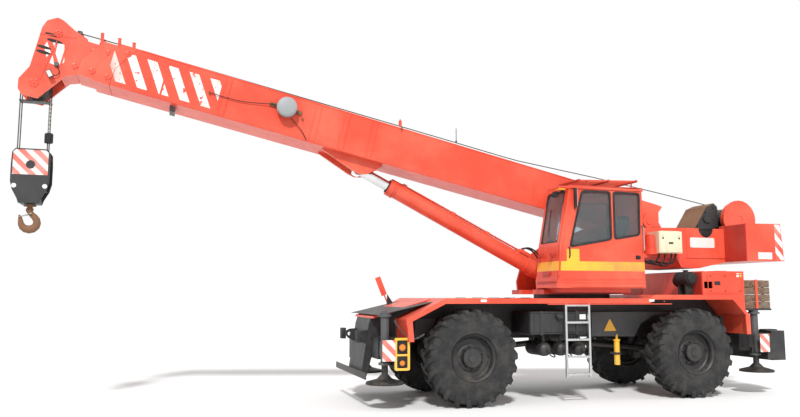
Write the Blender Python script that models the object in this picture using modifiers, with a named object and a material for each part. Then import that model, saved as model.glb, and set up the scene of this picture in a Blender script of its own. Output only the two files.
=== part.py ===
"""Two-axle rough-terrain mobile crane with a four-section telescopic boom, resting on its wheels.

Metres, +Z up. The front is -X, the left side is -Y and the ground is z = 0. Stations along X are
measured from the front axle, and the empty "frame_origin" moves the whole machine so that the middle
of its length is at x = 0.
"""

import math

import bmesh
import bpy
from mathutils import Matrix, Vector

# ---------------------------------------------------------------- driving dimensions, in metres
WHEELBASE = 4.015
TYRE_RADIUS = 0.745
TYRE_WIDTH = 0.44
HALF_WIDTH = 1.22  # half the width over the tyres and over the deck
KINGPIN_Y = 0.68
FRAME_HALF = 0.46
FRAME_LOW = 1.0
DECK_TOP = 1.655
DECK_RISE = 0.059
DECK_SKIN = 0.03
DECK_LIP = 0.08
BEAM_WIDTH = 0.13
BEAM_LOW = 0.79
BEAM_HIGH = 1.01
BEAM_PITCH = 0.17  # between the left and the right beam of one housing
HOUSING_HALF = 0.86
JACK_Y = 0.93
FLOAT_LOW = 0.377
FLOAT_RADIUS = 0.285
SLEW_X = 2.36
RING_RADIUS = 0.66
RING_HEIGHT = 0.066  # slewing ring, clear of the raised rear of the deck
PLATE_GAP = 0.035  # between the boom and the turntable's side plates
PLATE_THICK = 0.04
TAIL_HALF = 0.60
TAIL_X = 5.187
WEIGHT_HALF = 1.15
CAB_LEFT = 1.20
CAB_GAP = 0.055  # between the side plates and the cab
CAB_LOW = 1.823
CAB_WALL = 0.05
DOOR_THICK = 0.038
FOOT_X = 3.70  # boom foot pin
FOOT_Z = 3.02
BOOM_ANGLE = 12.8  # degrees above level
BOOM_HALF = 0.33
BOOM_LOW = -0.282  # underside and top of the base section, from the foot pin
BOOM_TOP = 0.381
BOOM_SEAM = 9.30  # foot pin to the front of the base section
BOOM_WALL = 0.02
COLLAR = 0.24
HEAD_S = 10.315  # foot pin to the lower head sheaves, along the boom
HEAD_N = -0.537
EYE_S = 5.295  # luffing cylinder's upper pin, along and across the boom
EYE_N = -0.42
HEEL_X = 1.75  # luffing cylinder's lower pin
HEEL_Z = 2.10
BARREL_RADIUS = 0.135
ROD_RADIUS = 0.085
EYE_HALF = 0.10  # half the width of the cylinder's eyes
LUG_THICK = 0.045
BARREL_START = 0.585  # upper pin to the barrel's mouth
SHEAVE_RADIUS = 0.19
ROPE_RADIUS = 0.009
ROPE_PAST = 0.01  # what a fall runs past the sheave axes at its ends
BLOCK_DROP = 1.182  # head sheave axis to the hook block's sheave axis
BLOCK_HALF = 0.26
WINCH_X = 5.675
WINCH_Z = 3.119
WINCH_RADIUS = 0.356
SEAT = 0.0003  # gap between solids that touch
SLIDE = 0.0005  # gap under a sliding piece
CLEAR = 0.006  # gap beside a moving piece

REAR = WHEELBASE
COLLAR_RADIUS = BARREL_RADIUS + 0.014  # collar at the barrel's mouth
LUG_IN = COLLAR_RADIUS + CLEAR  # the boom's lugs, clear of the barrel as it closes
PLATE_Y = BOOM_HALF + PLATE_GAP  # inner face of the turntable's side plates
CAB_RIGHT = PLATE_Y + PLATE_THICK + CAB_GAP
LADDER_Y = HALF_WIDTH - 0.005  # outer face of the ladder
WHEEL_Y = HALF_WIDTH - TYRE_WIDTH / 2
THETA = math.radians(BOOM_ANGLE)
FRONT_JACK_X = -1.34
REAR_JACK_X = REAR + 1.44
HOOK_X = FOOT_X - HEAD_S * math.cos(THETA) - HEAD_N * -math.sin(THETA)
HOOK_Z = FOOT_Z + HEAD_S * math.sin(THETA) + HEAD_N * math.cos(THETA)
CENTRE_X = (HOOK_X - BLOCK_HALF + WINCH_X + WINCH_RADIUS) / 2

PAINTS = {
    # name: (colour, roughness, metallic, alpha)
    "red_paint": ((0.72, 0.075, 0.035), 0.42, 0.0, 1.0),
    "black_paint": ((0.022, 0.024, 0.026), 0.5, 0.0, 1.0),
    "grey_paint": ((0.10, 0.11, 0.115), 0.5, 0.0, 1.0),
    "cream_paint": ((0.78, 0.73, 0.55), 0.45, 0.0, 1.0),
    "tyre_rubber": ((0.035, 0.034, 0.033), 0.85, 0.0, 1.0),
    "chrome_rod": ((0.72, 0.73, 0.75), 0.12, 1.0, 1.0),
    "aluminium": ((0.62, 0.63, 0.64), 0.38, 1.0, 1.0),
    "cab_glass": ((0.16, 0.20, 0.22), 0.06, 0.0, 0.35),
    "seat_fabric": ((0.04, 0.05, 0.06), 0.8, 0.0, 1.0),
    "timber": ((0.20, 0.125, 0.08), 0.85, 0.0, 1.0),
    "cast_iron": ((0.06, 0.06, 0.062), 0.55, 0.6, 1.0),
    "wire_rope": ((0.12, 0.12, 0.12), 0.5, 0.7, 1.0),
}


def clear_scene():
    for obj in list(bpy.data.objects):
        bpy.data.objects.remove(obj, do_unlink=True)
    scene = bpy.context.scene.collection
    crane = bpy.data.collections.new("mobile_crane")
    cutters = bpy.data.collections.new("cutters")
    scene.children.link(crane)
    scene.children.link(cutters)
    cutters.hide_render = True
    return crane, cutters


CRANE, CUTTERS = clear_scene()


def paint(name):
    found = bpy.data.materials.get(name)
    if found:
        return found
    colour, roughness, metallic, alpha = PAINTS[name]
    mat = bpy.data.materials.new(name)
    mat.use_nodes = True
    shader = mat.node_tree.nodes["Principled BSDF"]
    shader.inputs["Base Color"].default_value = (*colour, 1.0)
    shader.inputs["Roughness"].default_value = roughness
    shader.inputs["Metallic"].default_value = metallic
    shader.inputs["Alpha"].default_value = alpha
    return mat


# ---------------------------------------------------------------- solids
# Each of these returns a bmesh in the frame of the group that it belongs to.


def prism(outline, axis, low, high):
    """Outline extruded along an axis. It is given as (x, z) for Y, (x, y) for Z and (y, z) for X."""
    place = {
        "X": lambda a, b, t: (t, a, b),
        "Y": lambda a, b, t: (a, t, b),
        "Z": lambda a, b, t: (a, b, t),
    }[axis]
    bm = bmesh.new()
    near = [bm.verts.new(place(a, b, low)) for a, b in outline]
    far = [bm.verts.new(place(a, b, high)) for a, b in outline]
    bm.faces.new(near)
    bm.faces.new(list(reversed(far)))
    count = len(outline)
    for i in range(count):
        j = (i + 1) % count
        bm.faces.new((near[j], near[i], far[i], far[j]))
    bmesh.ops.recalc_face_normals(bm, faces=bm.faces)
    return bm


def box(x0, x1, y0, y1, z0, z1):
    return prism([(x0, z0), (x1, z0), (x1, z1), (x0, z1)], "Y", y0, y1)


def turned(profile, axis, centre, steps=32):
    """A profile of (radius, station) turned about an axis. A radius of 0 is a tip; if none, it closes."""
    place = {
        "X": lambda r, t, c, s: (t, r * c, r * s),
        "Y": lambda r, t, c, s: (r * c, t, r * s),
        "Z": lambda r, t, c, s: (r * c, r * s, t),
    }[axis]
    bm = bmesh.new()
    rings = []
    for radius, station in profile:
        if radius == 0:
            rings.append([bm.verts.new(Vector(place(0, station, 1, 0)) + Vector(centre))])
            continue
        ring = []
        for k in range(steps):
            turn = 2 * math.pi * (k + 0.0) / steps - math.pi / 2
            spot = Vector(place(radius, station, math.cos(turn), math.sin(turn)))
            ring.append(bm.verts.new(spot + Vector(centre)))
        rings.append(ring)
    open_ended = len(rings[0]) == 1 and len(rings[-1]) == 1
    pairs = list(zip(rings, rings[1:]))
    if not open_ended:
        pairs.append((rings[-1], rings[0]))
    for first, second in pairs:
        for k in range(steps):
            n = (k + 1) % steps
            corners = []
            for vert in (
                first[k % len(first)],
                first[n % len(first)],
                second[n % len(second)],
                second[k % len(second)],
            ):
                if vert not in corners:
                    corners.append(vert)
            if len(corners) > 2:
                bm.faces.new(corners)
    bmesh.ops.recalc_face_normals(bm, faces=bm.faces)
    return bm


def rod(radius, axis, low, high, centre, steps=32):
    return turned([(0, low), (radius, low), (radius, high), (0, high)], axis, centre, steps)


def swept(path, sides):
    """Rings of (x, z, radius) in the XZ plane joined into one closed bar."""
    bm = bmesh.new()
    rings = []
    count = len(path)
    for i, (x, z, radius) in enumerate(path):
        before = path[max(i - 1, 0)]
        after = path[min(i + 1, count - 1)]
        along = Vector((after[0] - before[0], 0, after[1] - before[1])).normalized()
        across = Vector((0, 1, 0))
        up = along.cross(across)
        ring = []
        for k in range(sides):
            turn = 2 * math.pi * k / sides
            offset = across * math.cos(turn) + up * math.sin(turn)
            ring.append(bm.verts.new(Vector((x, 0, z)) + offset * radius))
        rings.append(ring)
    for first, second in zip(rings, rings[1:]):
        for k in range(sides):
            n = (k + 1) % sides
            bm.faces.new((first[k], first[n], second[n], second[k]))
    bm.faces.new(rings[0])
    bm.faces.new(rings[-1])
    bmesh.ops.recalc_face_normals(bm, faces=bm.faces)
    return bm


# ---------------------------------------------------------------- objects


def empty(name, parent, location, tilt=0.0):
    """A joint axis. Its tilt is about Y."""
    obj = bpy.data.objects.new(name, None)
    obj.empty_display_size = 0.2
    obj.parent = parent
    obj.location = location
    obj.rotation_euler = (0, tilt, 0)
    CRANE.objects.link(obj)
    return obj


def from_bmesh(name, bm, group, smooth):
    parent, origin = group
    bmesh.ops.translate(bm, verts=bm.verts, vec=-Vector(origin))
    mesh = bpy.data.meshes.new(name)
    bm.to_mesh(mesh)
    bm.free()
    if smooth:
        mesh.polygons.foreach_set("use_smooth", [True] * len(mesh.polygons))
    obj = bpy.data.objects.new(name, mesh)
    obj.parent = parent
    return obj


def piece(name, group, paint_name, adds, cuts=(), bevel=0.0, smooth=False):
    """One node: its first solid, the others fused to it, and the cuts taken out."""
    obj = from_bmesh(name, adds[0], group, smooth)
    obj.data.materials.append(paint(paint_name))
    CRANE.objects.link(obj)
    if bevel:
        mod = obj.modifiers.new("edges", "BEVEL")
        mod.width = bevel
        mod.segments = 2
        mod.limit_method = "ANGLE"
        mod.angle_limit = math.radians(50)
    work = [("UNION", bm) for bm in adds[1:]] + [("DIFFERENCE", bm) for bm in cuts]
    for number, (operation, bm) in enumerate(work):
        tool = from_bmesh(f"{name}_tool_{number}", bm, group, smooth)
        tool.hide_render = True
        tool.display_type = "WIRE"
        CUTTERS.objects.link(tool)
        mod = obj.modifiers.new(f"{operation.lower()}_{number}", "BOOLEAN")
        mod.operation = operation
        mod.solver = "EXACT"
        mod.object = tool
    return obj


def line_z(points, x):
    """The height of a broken line at station x."""
    for (x0, z0), (x1, z1) in zip(points, points[1:]):
        if x0 <= x <= x1:
            return z0 + (z1 - z0) * (x - x0) / (x1 - x0)
    raise ValueError(x)


def band(top, thick):
    """A closed outline between a broken line and the same line moved down."""
    return list(top) + [(x, z - thick) for x, z in reversed(top)]


ORIGIN = empty("frame_origin", None, (-CENTRE_X, 0, 0))
CARRIER = (ORIGIN, (0, 0, 0))

# ---------------------------------------------------------------- carrier

NOSE_X = -1.44
BEND_X = -0.46
STEP_X = 3.13
DROP_X = REAR + 0.765
END_X = REAR + 1.105
RISEN = DECK_TOP + DECK_RISE
CENTRE_LINE = [
    (NOSE_X, DECK_TOP - 0.2813),
    (BEND_X, DECK_TOP),
    (STEP_X, DECK_TOP),
    (STEP_X + 0.1, RISEN),
    (DROP_X, RISEN),
    (END_X, RISEN - 0.352),
]
SIDE_LINE = [
    (-1.084, DECK_TOP - 0.307),
    (BEND_X, DECK_TOP),
    (STEP_X, DECK_TOP),
    (STEP_X + 0.1, RISEN),
    (DROP_X, RISEN),
    (END_X, RISEN - 0.352),
]
BOX_FRONT = (FRONT_JACK_X - 0.09, FRONT_JACK_X + 0.28)
BOX_REAR = (REAR_JACK_X - 0.28, REAR_JACK_X + 0.105)


def chassis():
    under = DECK_SKIN + SEAT
    low = [(x, z - under) for x, z in CENTRE_LINE]
    start = BOX_FRONT[1] + SEAT
    finish = BOX_REAR[0] - SEAT
    drop = [(DROP_X - 0.02, RISEN - under), (END_X - 0.05, RISEN - 0.352 - under)]
    outline = [(start, FRAME_LOW), (start, line_z(low, start))]
    outline += low[1:4] + drop + [(finish, RISEN - 0.46), (finish, FRAME_LOW)]
    arches = []
    for x in (0.0, REAR):
        for y in (-1, 1):
            low_y, high_y = sorted((y * (FRAME_HALF - 0.14), y * (FRAME_HALF + 0.1)))
            arches.append(rod(0.70, "Y", low_y, high_y, (x, 0, TYRE_RADIUS)))
    piece(
        "chassis_frame",
        CARRIER,
        "black_paint",
        [prism(outline, "Y", -FRAME_HALF, FRAME_HALF)],
        arches,
    )


def deck():
    solids = [prism(band(CENTRE_LINE, DECK_SKIN), "Y", -0.60, 0.60)]
    ends = {"front": (-1.084, -1.045), "rear": (END_X, END_X + 0.003)}
    for side in (-1, 1):
        inner, lip, outer = (side * v for v in (0.59, HALF_WIDTH - 0.02, HALF_WIDTH))
        shapes = ((DECK_SKIN, inner, lip + side * 0.01), (DECK_LIP, lip, outer))
        for thick, y0, y1 in shapes:
            y0, y1 = sorted((y0, y1))
            solids.append(prism(band(SIDE_LINE, thick), "Y", y0, y1))
            top = DECK_TOP - 0.307
            x0, x1 = ends["front"]
            flap = [(x0, top), (x0 + thick + 0.01, top), (x1 + thick, 1.013), (x1, 1.013)]
            solids.append(prism(flap, "Y", y0, y1))
            top = RISEN - 0.352
            x0, x1 = ends["rear"]
            flap = [(x0, top), (x1, 1.042), (x1 - thick, 1.042), (x0 - thick - 0.01, top)]
            solids.append(prism(flap, "Y", y0, y1))
    piece("deck", CARRIER, "red_paint", solids)


def hood():
    front = REAR + 0.185
    rear = END_X - 0.07
    top = RISEN + 0.406
    foot = RISEN + SEAT
    slope = line_z(CENTRE_LINE, rear) + SEAT
    outline = [(front, foot), (DROP_X, foot), (rear, slope), (rear, top)]
    outline += [(front + 0.16, top), (front, top - 0.015)]
    wall = 0.02
    hollow = [(front + wall, foot - 0.1), (DROP_X, foot - 0.1), (rear - wall, slope - 0.1)]
    hollow += [(rear - wall, top - wall), (front + 0.16, top - wall), (front + wall, top - 0.035)]
    y = HALF_WIDTH - 0.03
    slot = box(front + 0.03, front + 0.20, -y - 0.1, -y + 0.1, RISEN + 0.11, RISEN + 0.225)
    piece(
        "engine_hood",
        CARRIER,
        "red_paint",
        [prism(outline, "Y", -y, y)],
        [prism(hollow, "Y", -y + wall, y - wall), slot],
    )
    engine = box(front + 0.08, DROP_X - 0.02, -0.5, 0.5, foot, top - 0.07)
    piece("engine_block", CARRIER, "cast_iron", [engine])
    x = front - 0.15
    z = RISEN + 0.186
    piece(
        "air_cleaner",
        CARRIER,
        "black_paint",
        [
            rod(0.12, "Y", -1.15, -0.75, (x, 0, z), 24),
            rod(0.07, "Z", z + 0.05, z + 0.24, (x, -0.95, 0), 16),
            box(x - 0.08, x + 0.08, -1.05, -0.85, foot, z - 0.05),
        ],
        smooth=True,
    )


def slots(x_left, x_right):
    """Room for the two beams of a housing. Each slot is blind at the far side."""
    half = BEAM_WIDTH / 2 + CLEAR
    low, high = BEAM_LOW - SLIDE, BEAM_HIGH + CLEAR
    blind = HOUSING_HALF - 0.015
    return [
        box(x_left - half, x_left + half, -1.3, blind, low, high),
        box(x_right - half, x_right + half, -blind, 1.3, low, high),
    ]


def outrigger_boxes():
    x0, x1 = BOX_FRONT
    low = [(x, z - DECK_SKIN - SEAT) for x, z in CENTRE_LINE]
    nose = [(x1, 0.74), (-1.42, 0.74), (-1.50, 0.455), (-1.59, 0.455), (-1.47, 1.25)]
    nose += [(NOSE_X, low[0][1]), (x1, line_z(low, x1))]
    lug = [(-1.46, 1.16), (-1.50, 0.94), (-1.62, 1.0), (-1.665, 1.06), (-1.65, 1.12), (-1.60, 1.15)]
    right = FRONT_JACK_X + BEAM_PITCH
    piece(
        "front_outrigger_box",
        CARRIER,
        "black_paint",
        [
            box(x0, x1, -HOUSING_HALF, HOUSING_HALF, 0.74, 1.06),
            prism(nose, "Y", -0.45, 0.45),
            prism(lug, "Y", -0.42, -0.38),
            prism(lug, "Y", 0.33, 0.37),
            box(right - 0.08, right + 0.08, -1.12, -0.85, 0.62, 1.05),
            box(FRONT_JACK_X - 0.08, FRONT_JACK_X + 0.07, 0.85, 1.12, 0.62, 1.05),
        ],
        slots(FRONT_JACK_X, right) + [rod(0.03, "Y", -0.6, 0.6, (-1.60, 0, 1.07), 16)],
    )
    x0, x1 = BOX_REAR
    top = RISEN - 0.2697
    piece(
        "rear_outrigger_box",
        CARRIER,
        "black_paint",
        [
            box(x0, x1, -HOUSING_HALF, HOUSING_HALF, 0.74, 1.06),
            box(x0, x1, -0.40, 0.40, 1.0, top + 0.01),
            box(END_X + 0.01, x1 + 0.22, -1.0, 1.0, top, top + DECK_SKIN),
            box(x1 - 0.02, x1 + 0.10, -1.12, 1.12, 0.60, 1.05),
            box(x1 + 0.08, x1 + 0.36, -1.12, -0.72, 0.58, 1.09),
            box(x1 + 0.08, x1 + 0.36, 0.72, 1.12, 0.58, 1.09),
        ],
        slots(REAR_JACK_X, REAR_JACK_X - BEAM_PITCH),
    )
    shelf = top + DECK_SKIN + SEAT
    mats = box(REAR + 1.195, REAR + 1.755, -1.0, 0.0, shelf, shelf + 0.5)
    piece("timber_mats", CARRIER, "timber", [mats])


def tanks():
    side = FRAME_HALF + SEAT
    fuel = box(0.97, 2.02, -1.15, -side, 1.08, 1.45)
    piece("fuel_tank", CARRIER, "black_paint", [fuel], bevel=0.045)
    cylinders = []
    for x in (1.275, 1.575, 1.894):
        ends = [(0, -1.12), (0.07, -1.105), (0.11, -1.05), (0.11, -0.56), (0, -0.50)]
        cylinders.append(turned(ends, "Y", (x, 0, 0.85), 20))
    carrier = box(1.12, 2.0, -0.98, -0.62, 0.90, 1.08 - SEAT)
    piece("air_tanks", CARRIER, "black_paint", [carrier] + cylinders)
    oil = box(1.0, 2.7, side, 1.15, 0.95, 1.45)
    piece("hydraulic_tank", CARRIER, "black_paint", [oil], bevel=0.045)
    solids = []
    top = DECK_TOP - DECK_LIP - SEAT
    for x in (1.58, 1.99):
        solids.append(box(x - 0.02, x + 0.02, -LADDER_Y, -LADDER_Y + 0.04, 0.41, top))
    for z in (0.45, 0.735, 1.02, 1.305, 1.555):
        solids.append(box(1.575, 1.995, 0.005 - LADDER_Y, 0.035 - LADDER_Y, z - 0.0125, z + 0.0125))
    piece("access_ladder", CARRIER, "aluminium", solids)


def axles():
    for name, x in (("front", 0.0), ("rear", REAR)):
        half = KINGPIN_Y - 0.12
        housing = [(0, -half), (0.11, -half), (0.11, -0.24), (0.235, -0.11), (0.235, 0.11)]
        housing += [(0.11, 0.24), (0.11, half), (0, half)]
        solids = [turned(housing, "Y", (x, 0, TYRE_RADIUS), 16)]
        bores = []
        for y in (-1, 1):
            seat_y = sorted((y * 0.25, y * 0.40))
            solids.append(box(x - 0.09, x + 0.09, *seat_y, TYRE_RADIUS, FRAME_LOW - SEAT))
            back = sorted((y * (KINGPIN_Y - 0.16), y * (KINGPIN_Y - 0.095)))
            solids.append(box(x - 0.08, x + 0.08, *back, TYRE_RADIUS - 0.215, TYRE_RADIUS + 0.215))
            ear = sorted((y * (KINGPIN_Y - 0.10), y * (KINGPIN_Y + 0.08)))
            for up in (-1, 1):
                level = sorted((TYRE_RADIUS + up * (0.155 + SLIDE), TYRE_RADIUS + up * 0.215))
                solids.append(box(x - 0.08, x + 0.08, *ear, *level))
            bores.append(rod(0.041, "Z", 0.4, 1.1, (x, y * KINGPIN_Y, 0), 16))
        piece(f"{name}_axle", CARRIER, "black_paint", solids, bores)


# ---------------------------------------------------------------- wheels

TYRE = [
    (0.330, -0.165), (0.359, -0.165), (0.359, -0.188), (0.54, -0.22), (0.70, -0.20),
    (0.745, -0.14), (0.745, 0.14), (0.70, 0.20), (0.54, 0.22), (0.359, 0.188),
    (0.359, 0.165), (0.330, 0.165),
]  # fmt: skip
RIM = [
    (0, 0.20), (0.15, 0.20), (0.155, 0.06), (0.30, 0.06), (0.318, 0.185), (0.3575, 0.185),
    (0.3575, 0.1655), (0.3295, 0.1655), (0.3295, -0.1655), (0.3575, -0.1655),
    (0.3575, -0.185), (0.318, -0.185), (0.30, 0.03), (0.14, 0.02), (0.14, -0.10),
    (0.0908, -0.10), (0.0908, 0.10), (0, 0.10),
]  # fmt: skip


def wheels():
    scale = TYRE_RADIUS / 0.745
    wide = TYRE_WIDTH / 0.44
    for end, x in (("front", 0.0), ("rear", REAR)):
        for side, y in (("left", -1), ("right", 1)):
            name = f"{end}_{side}"
            pin = (x, y * KINGPIN_Y, TYRE_RADIUS)
            steer = empty(f"{name}_steer_axis", ORIGIN, pin)
            knuckle = (steer, pin)
            reach = (WHEEL_Y + 0.09 * wide) * y
            drum = sorted((y * (WHEEL_Y - 0.20), y * (WHEEL_Y - 0.12 * wide)))
            neck = sorted((y * KINGPIN_Y, y * (WHEEL_Y - 0.15)))
            stub = sorted((y * (WHEEL_Y - 0.20), reach))
            z = TYRE_RADIUS
            piece(
                f"{name}_knuckle",
                knuckle,
                "black_paint",
                [
                    rod(0.09, "Z", z - 0.155, z + 0.155, (x, pin[1], 0), 16),
                    rod(0.04, "Z", z - 0.21, z + 0.21, (x, pin[1], 0), 16),
                    box(x - 0.07, x + 0.07, *neck, z - 0.10, z + 0.10),
                    rod(0.13, "Y", *drum, (x, 0, z), 16),
                    rod(0.09, "Y", *stub, (x, 0, z), 24),
                ],
            )
            hub = (x, y * WHEEL_Y, TYRE_RADIUS)
            spin = empty(f"{name}_wheel_axis", steer, Vector(hub) - Vector(pin))
            wheel = (spin, hub)
            tyre = [(r * scale, t * wide * y) for r, t in TYRE]
            rim = [(r * (scale if r > 0.2 else 1), t * wide * y) for r, t in RIM]
            solid = turned(tyre, "Y", hub, 24)
            piece(f"{name}_tyre", wheel, "tyre_rubber", [solid], smooth=True)
            piece(f"{name}_rim", wheel, "black_paint", [turned(rim, "Y", hub, 24)], smooth=True)


# ---------------------------------------------------------------- outriggers


def outriggers():
    stations = (
        ("front_left", FRONT_JACK_X, -1),
        ("front_right", FRONT_JACK_X + BEAM_PITCH, 1),
        ("rear_left", REAR_JACK_X, -1),
        ("rear_right", REAR_JACK_X - BEAM_PITCH, 1),
    )
    for name, x, y in stations:
        mouth = (x, y * HOUSING_HALF, BEAM_LOW)
        slide = empty(f"{name}_beam_axis", ORIGIN, mouth)
        half = BEAM_WIDTH / 2
        span = sorted((y * (JACK_Y + 0.07), -y * (HOUSING_HALF - 0.02)))
        plate = sorted((y * (JACK_Y + 0.06), y * (JACK_Y + 0.10)))
        jack = (x, y * JACK_Y, 0)
        piece(
            f"{name}_outrigger_beam",
            (slide, mouth),
            "black_paint",
            [
                box(x - half, x + half, *span, BEAM_LOW, BEAM_HIGH),
                rod(0.064, "Z", 0.655, 1.43, jack, 16),
                box(x - 0.08, x + 0.08, *plate, 0.73, 1.04),
            ],
            [rod(0.0505, "Z", 0.6, 1.40, jack, 16)],
        )
        foot = (x, y * JACK_Y, FLOAT_LOW)
        lift = empty(f"{name}_jack_axis", slide, Vector(foot) - Vector(mouth))
        r = FLOAT_RADIUS
        shape = [(0, 0), (r - 0.015, 0), (r, 0.02), (r, 0.035), (0.12, 0.08), (0.07, 0.13)]
        shape += [(0.05, 0.15), (0.05, 1.0), (0, 1.0)]
        pad = turned([(a, b + FLOAT_LOW) for a, b in shape], "Z", jack, 16)
        piece(f"{name}_float", (lift, foot), "black_paint", [pad])


# ---------------------------------------------------------------- superstructure

SLEW = empty("slew_axis", ORIGIN, (SLEW_X, 0, DECK_TOP + 0.045))
UPPER = (SLEW, (SLEW_X, 0, DECK_TOP + 0.045))


def slewing():
    ring = [(0.50, DECK_TOP + SEAT), (RING_RADIUS, DECK_TOP + SEAT)]
    ring += [(RING_RADIUS, DECK_TOP + RING_HEIGHT), (0.50, DECK_TOP + RING_HEIGHT)]
    piece("slew_ring", CARRIER, "black_paint", [turned(ring, "Z", (SLEW_X, 0, 0), 32)])


def turntable():
    pan = DECK_TOP + RING_HEIGHT + 0.0008
    ear = []
    for k in range(7):
        turn = math.radians(150 - 25 * k)
        ear.append((FOOT_X + 0.24 * math.cos(turn), FOOT_Z + 0.24 * math.sin(turn)))
    plate = [(1.50, pan), (1.48, 1.95), (1.60, 2.33), (2.0, 2.60), (3.20, 3.06)]
    plate += ear + [(4.0, 2.91), (4.0, 2.37), (3.22, 2.37), (3.10, pan)]
    front_plate_y = (PLATE_Y, PLATE_Y + PLATE_THICK)
    t = TAIL_HALF
    tail = [(3.25, PLATE_Y + 0.025), (4.37, t), (TAIL_X, t), (TAIL_X, t - 0.04), (4.375, t - 0.04)]
    tail += [(3.42, PLATE_Y + 0.007), (3.25, PLATE_Y + 0.007)]
    belly = [(4.12, 2.42), (4.25, 2.195), (4.62, 2.19), (TAIL_X, 2.305), (TAIL_X, 2.42)]
    solids = [box(1.50, 3.15, -0.62, 0.62, pan, 1.80)]
    notches = []
    for side in (-1, 1):
        y = sorted(side * v for v in front_plate_y)
        solids.append(prism(plate, "Y", *y))
        solids.append(prism([(a, side * b) for a, b in tail], "Z", 2.37, 2.91))
        boss = sorted((side * (PLATE_Y + 0.01), side * (COLLAR_RADIUS + 0.001)))
        solids.append(rod(0.09, "Y", *boss, (HEEL_X, 0, HEEL_Z), 12))
        y = sorted((side * (t - 0.1), side * (t + 0.1)))
        notches.append(rod(0.17, "Y", *y, (4.80, 0, 2.912), 16))
    solids.append(prism(belly, "Y", -t + 0.01, t - 0.01))
    solids.append(box(1.60, 2.90, -1.02, -0.42, 1.75, CAB_LOW - SEAT))
    pin = PLATE_Y + PLATE_THICK + 0.03
    solids.append(rod(0.08, "Y", -pin, pin, (FOOT_X, 0, FOOT_Z), 24))
    well_y = LUG_IN + 0.045
    well = box(1.10, 2.05, -well_y, well_y, 1.6, 1.9)
    piece("turntable", UPPER, "red_paint", solids, notches + [well])
    weight_x = TAIL_X + SEAT
    weight = [(weight_x, 2.306), (5.983, 2.311), (5.93, 2.976), (weight_x, 2.966)]
    recess = box(5.0, 6.2, -0.47, 0.47, 2.72, 3.2)
    solid = prism(weight, "Y", -WEIGHT_HALF, WEIGHT_HALF)
    piece("counterweight", UPPER, "red_paint", [solid], [recess])
    face = [(3.65, -0.80), (4.12, -0.80)]
    for x in (4.12, 3.65):
        y = PLATE_Y + 0.025 + (t - PLATE_Y - 0.025) * (x - 3.25) / 1.12
        face.append((x, -y - 0.0007))
    piece("control_cabinet", UPPER, "cream_paint", [prism(face, "Z", 2.44, 2.82)])
    housing = [(4.80, 2.4203), (4.80, 2.93), (5.08, 3.35), (5.24, 3.42), (5.31, 3.36)]
    housing += [(5.315, 2.98), (5.185, 2.95), (5.185, 2.4203)]
    piece("aux_drum_housing", UPPER, "black_paint", [prism(housing, "Y", -0.30, 0.30)])


def winch():
    base = 2.72 + SEAT
    cheeks = []
    for side in (-1, 1):
        y = sorted((side * 0.415, side * 0.455))
        cheeks.append(rod(WINCH_RADIUS, "Y", *y, (WINCH_X, 0, WINCH_Z), 24))
        cheeks.append(box(WINCH_X - 0.22, WINCH_X + 0.22, *y, base, 3.0))
    floor = box(WINCH_X - 0.27, WINCH_X + 0.26, -0.455, 0.455, base, base + 0.03)
    bore = rod(0.0658, "Y", -0.6, 0.6, (WINCH_X, 0, WINCH_Z), 24)
    piece("winch_frame", UPPER, "red_paint", [floor] + cheeks, [bore])
    spin = empty("winch_axis", SLEW, (WINCH_X - SLEW_X, 0, WINCH_Z - DECK_TOP - 0.045))
    drum = [(0, -0.45), (0.065, -0.45), (0.065, -0.405), (0.33, -0.405), (0.33, -0.375)]
    drum += [(0.20, -0.375)]
    drum += [(r, -t) for r, t in reversed(drum)]
    spot = (WINCH_X, 0, WINCH_Z)
    piece("winch_drum", (spin, spot), "red_paint", [turned(drum, "Y", spot, 24)], smooth=True)


CAB_SIDE = [(1.44, CAB_LOW), (3.07, CAB_LOW), (3.055, 3.47), (1.69, 3.49), (1.50, 2.505)]
WINDOW_1 = [(1.692, 2.492), (2.444, 2.624), (2.439, 3.40), (1.928, 3.40)]
WINDOW_2 = [(2.516, 2.632), (2.982, 2.711), (2.995, 3.395), (2.516, 3.40)]


def shrink(outline, gap):
    """An outline moved in from its own middle by about the gap."""
    cx = sum(p[0] for p in outline) / len(outline)
    cz = sum(p[1] for p in outline) / len(outline)
    moved = []
    for x, z in outline:
        away = Vector((x - cx, z - cz))
        away -= away.normalized() * gap * 1.3
        moved.append((cx + away.x, cz + away.y))
    return moved


def screen(low, high, depth, thick):
    """A slab in the sloping front wall of the cab."""
    lean = (1.69 - 1.50) / (3.49 - 2.505)
    ends = [(1.50 + (z - 2.505) * lean + depth, z) for z in (low, high)]
    return ends + [(x + thick, z) for x, z in reversed(ends)]


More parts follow.
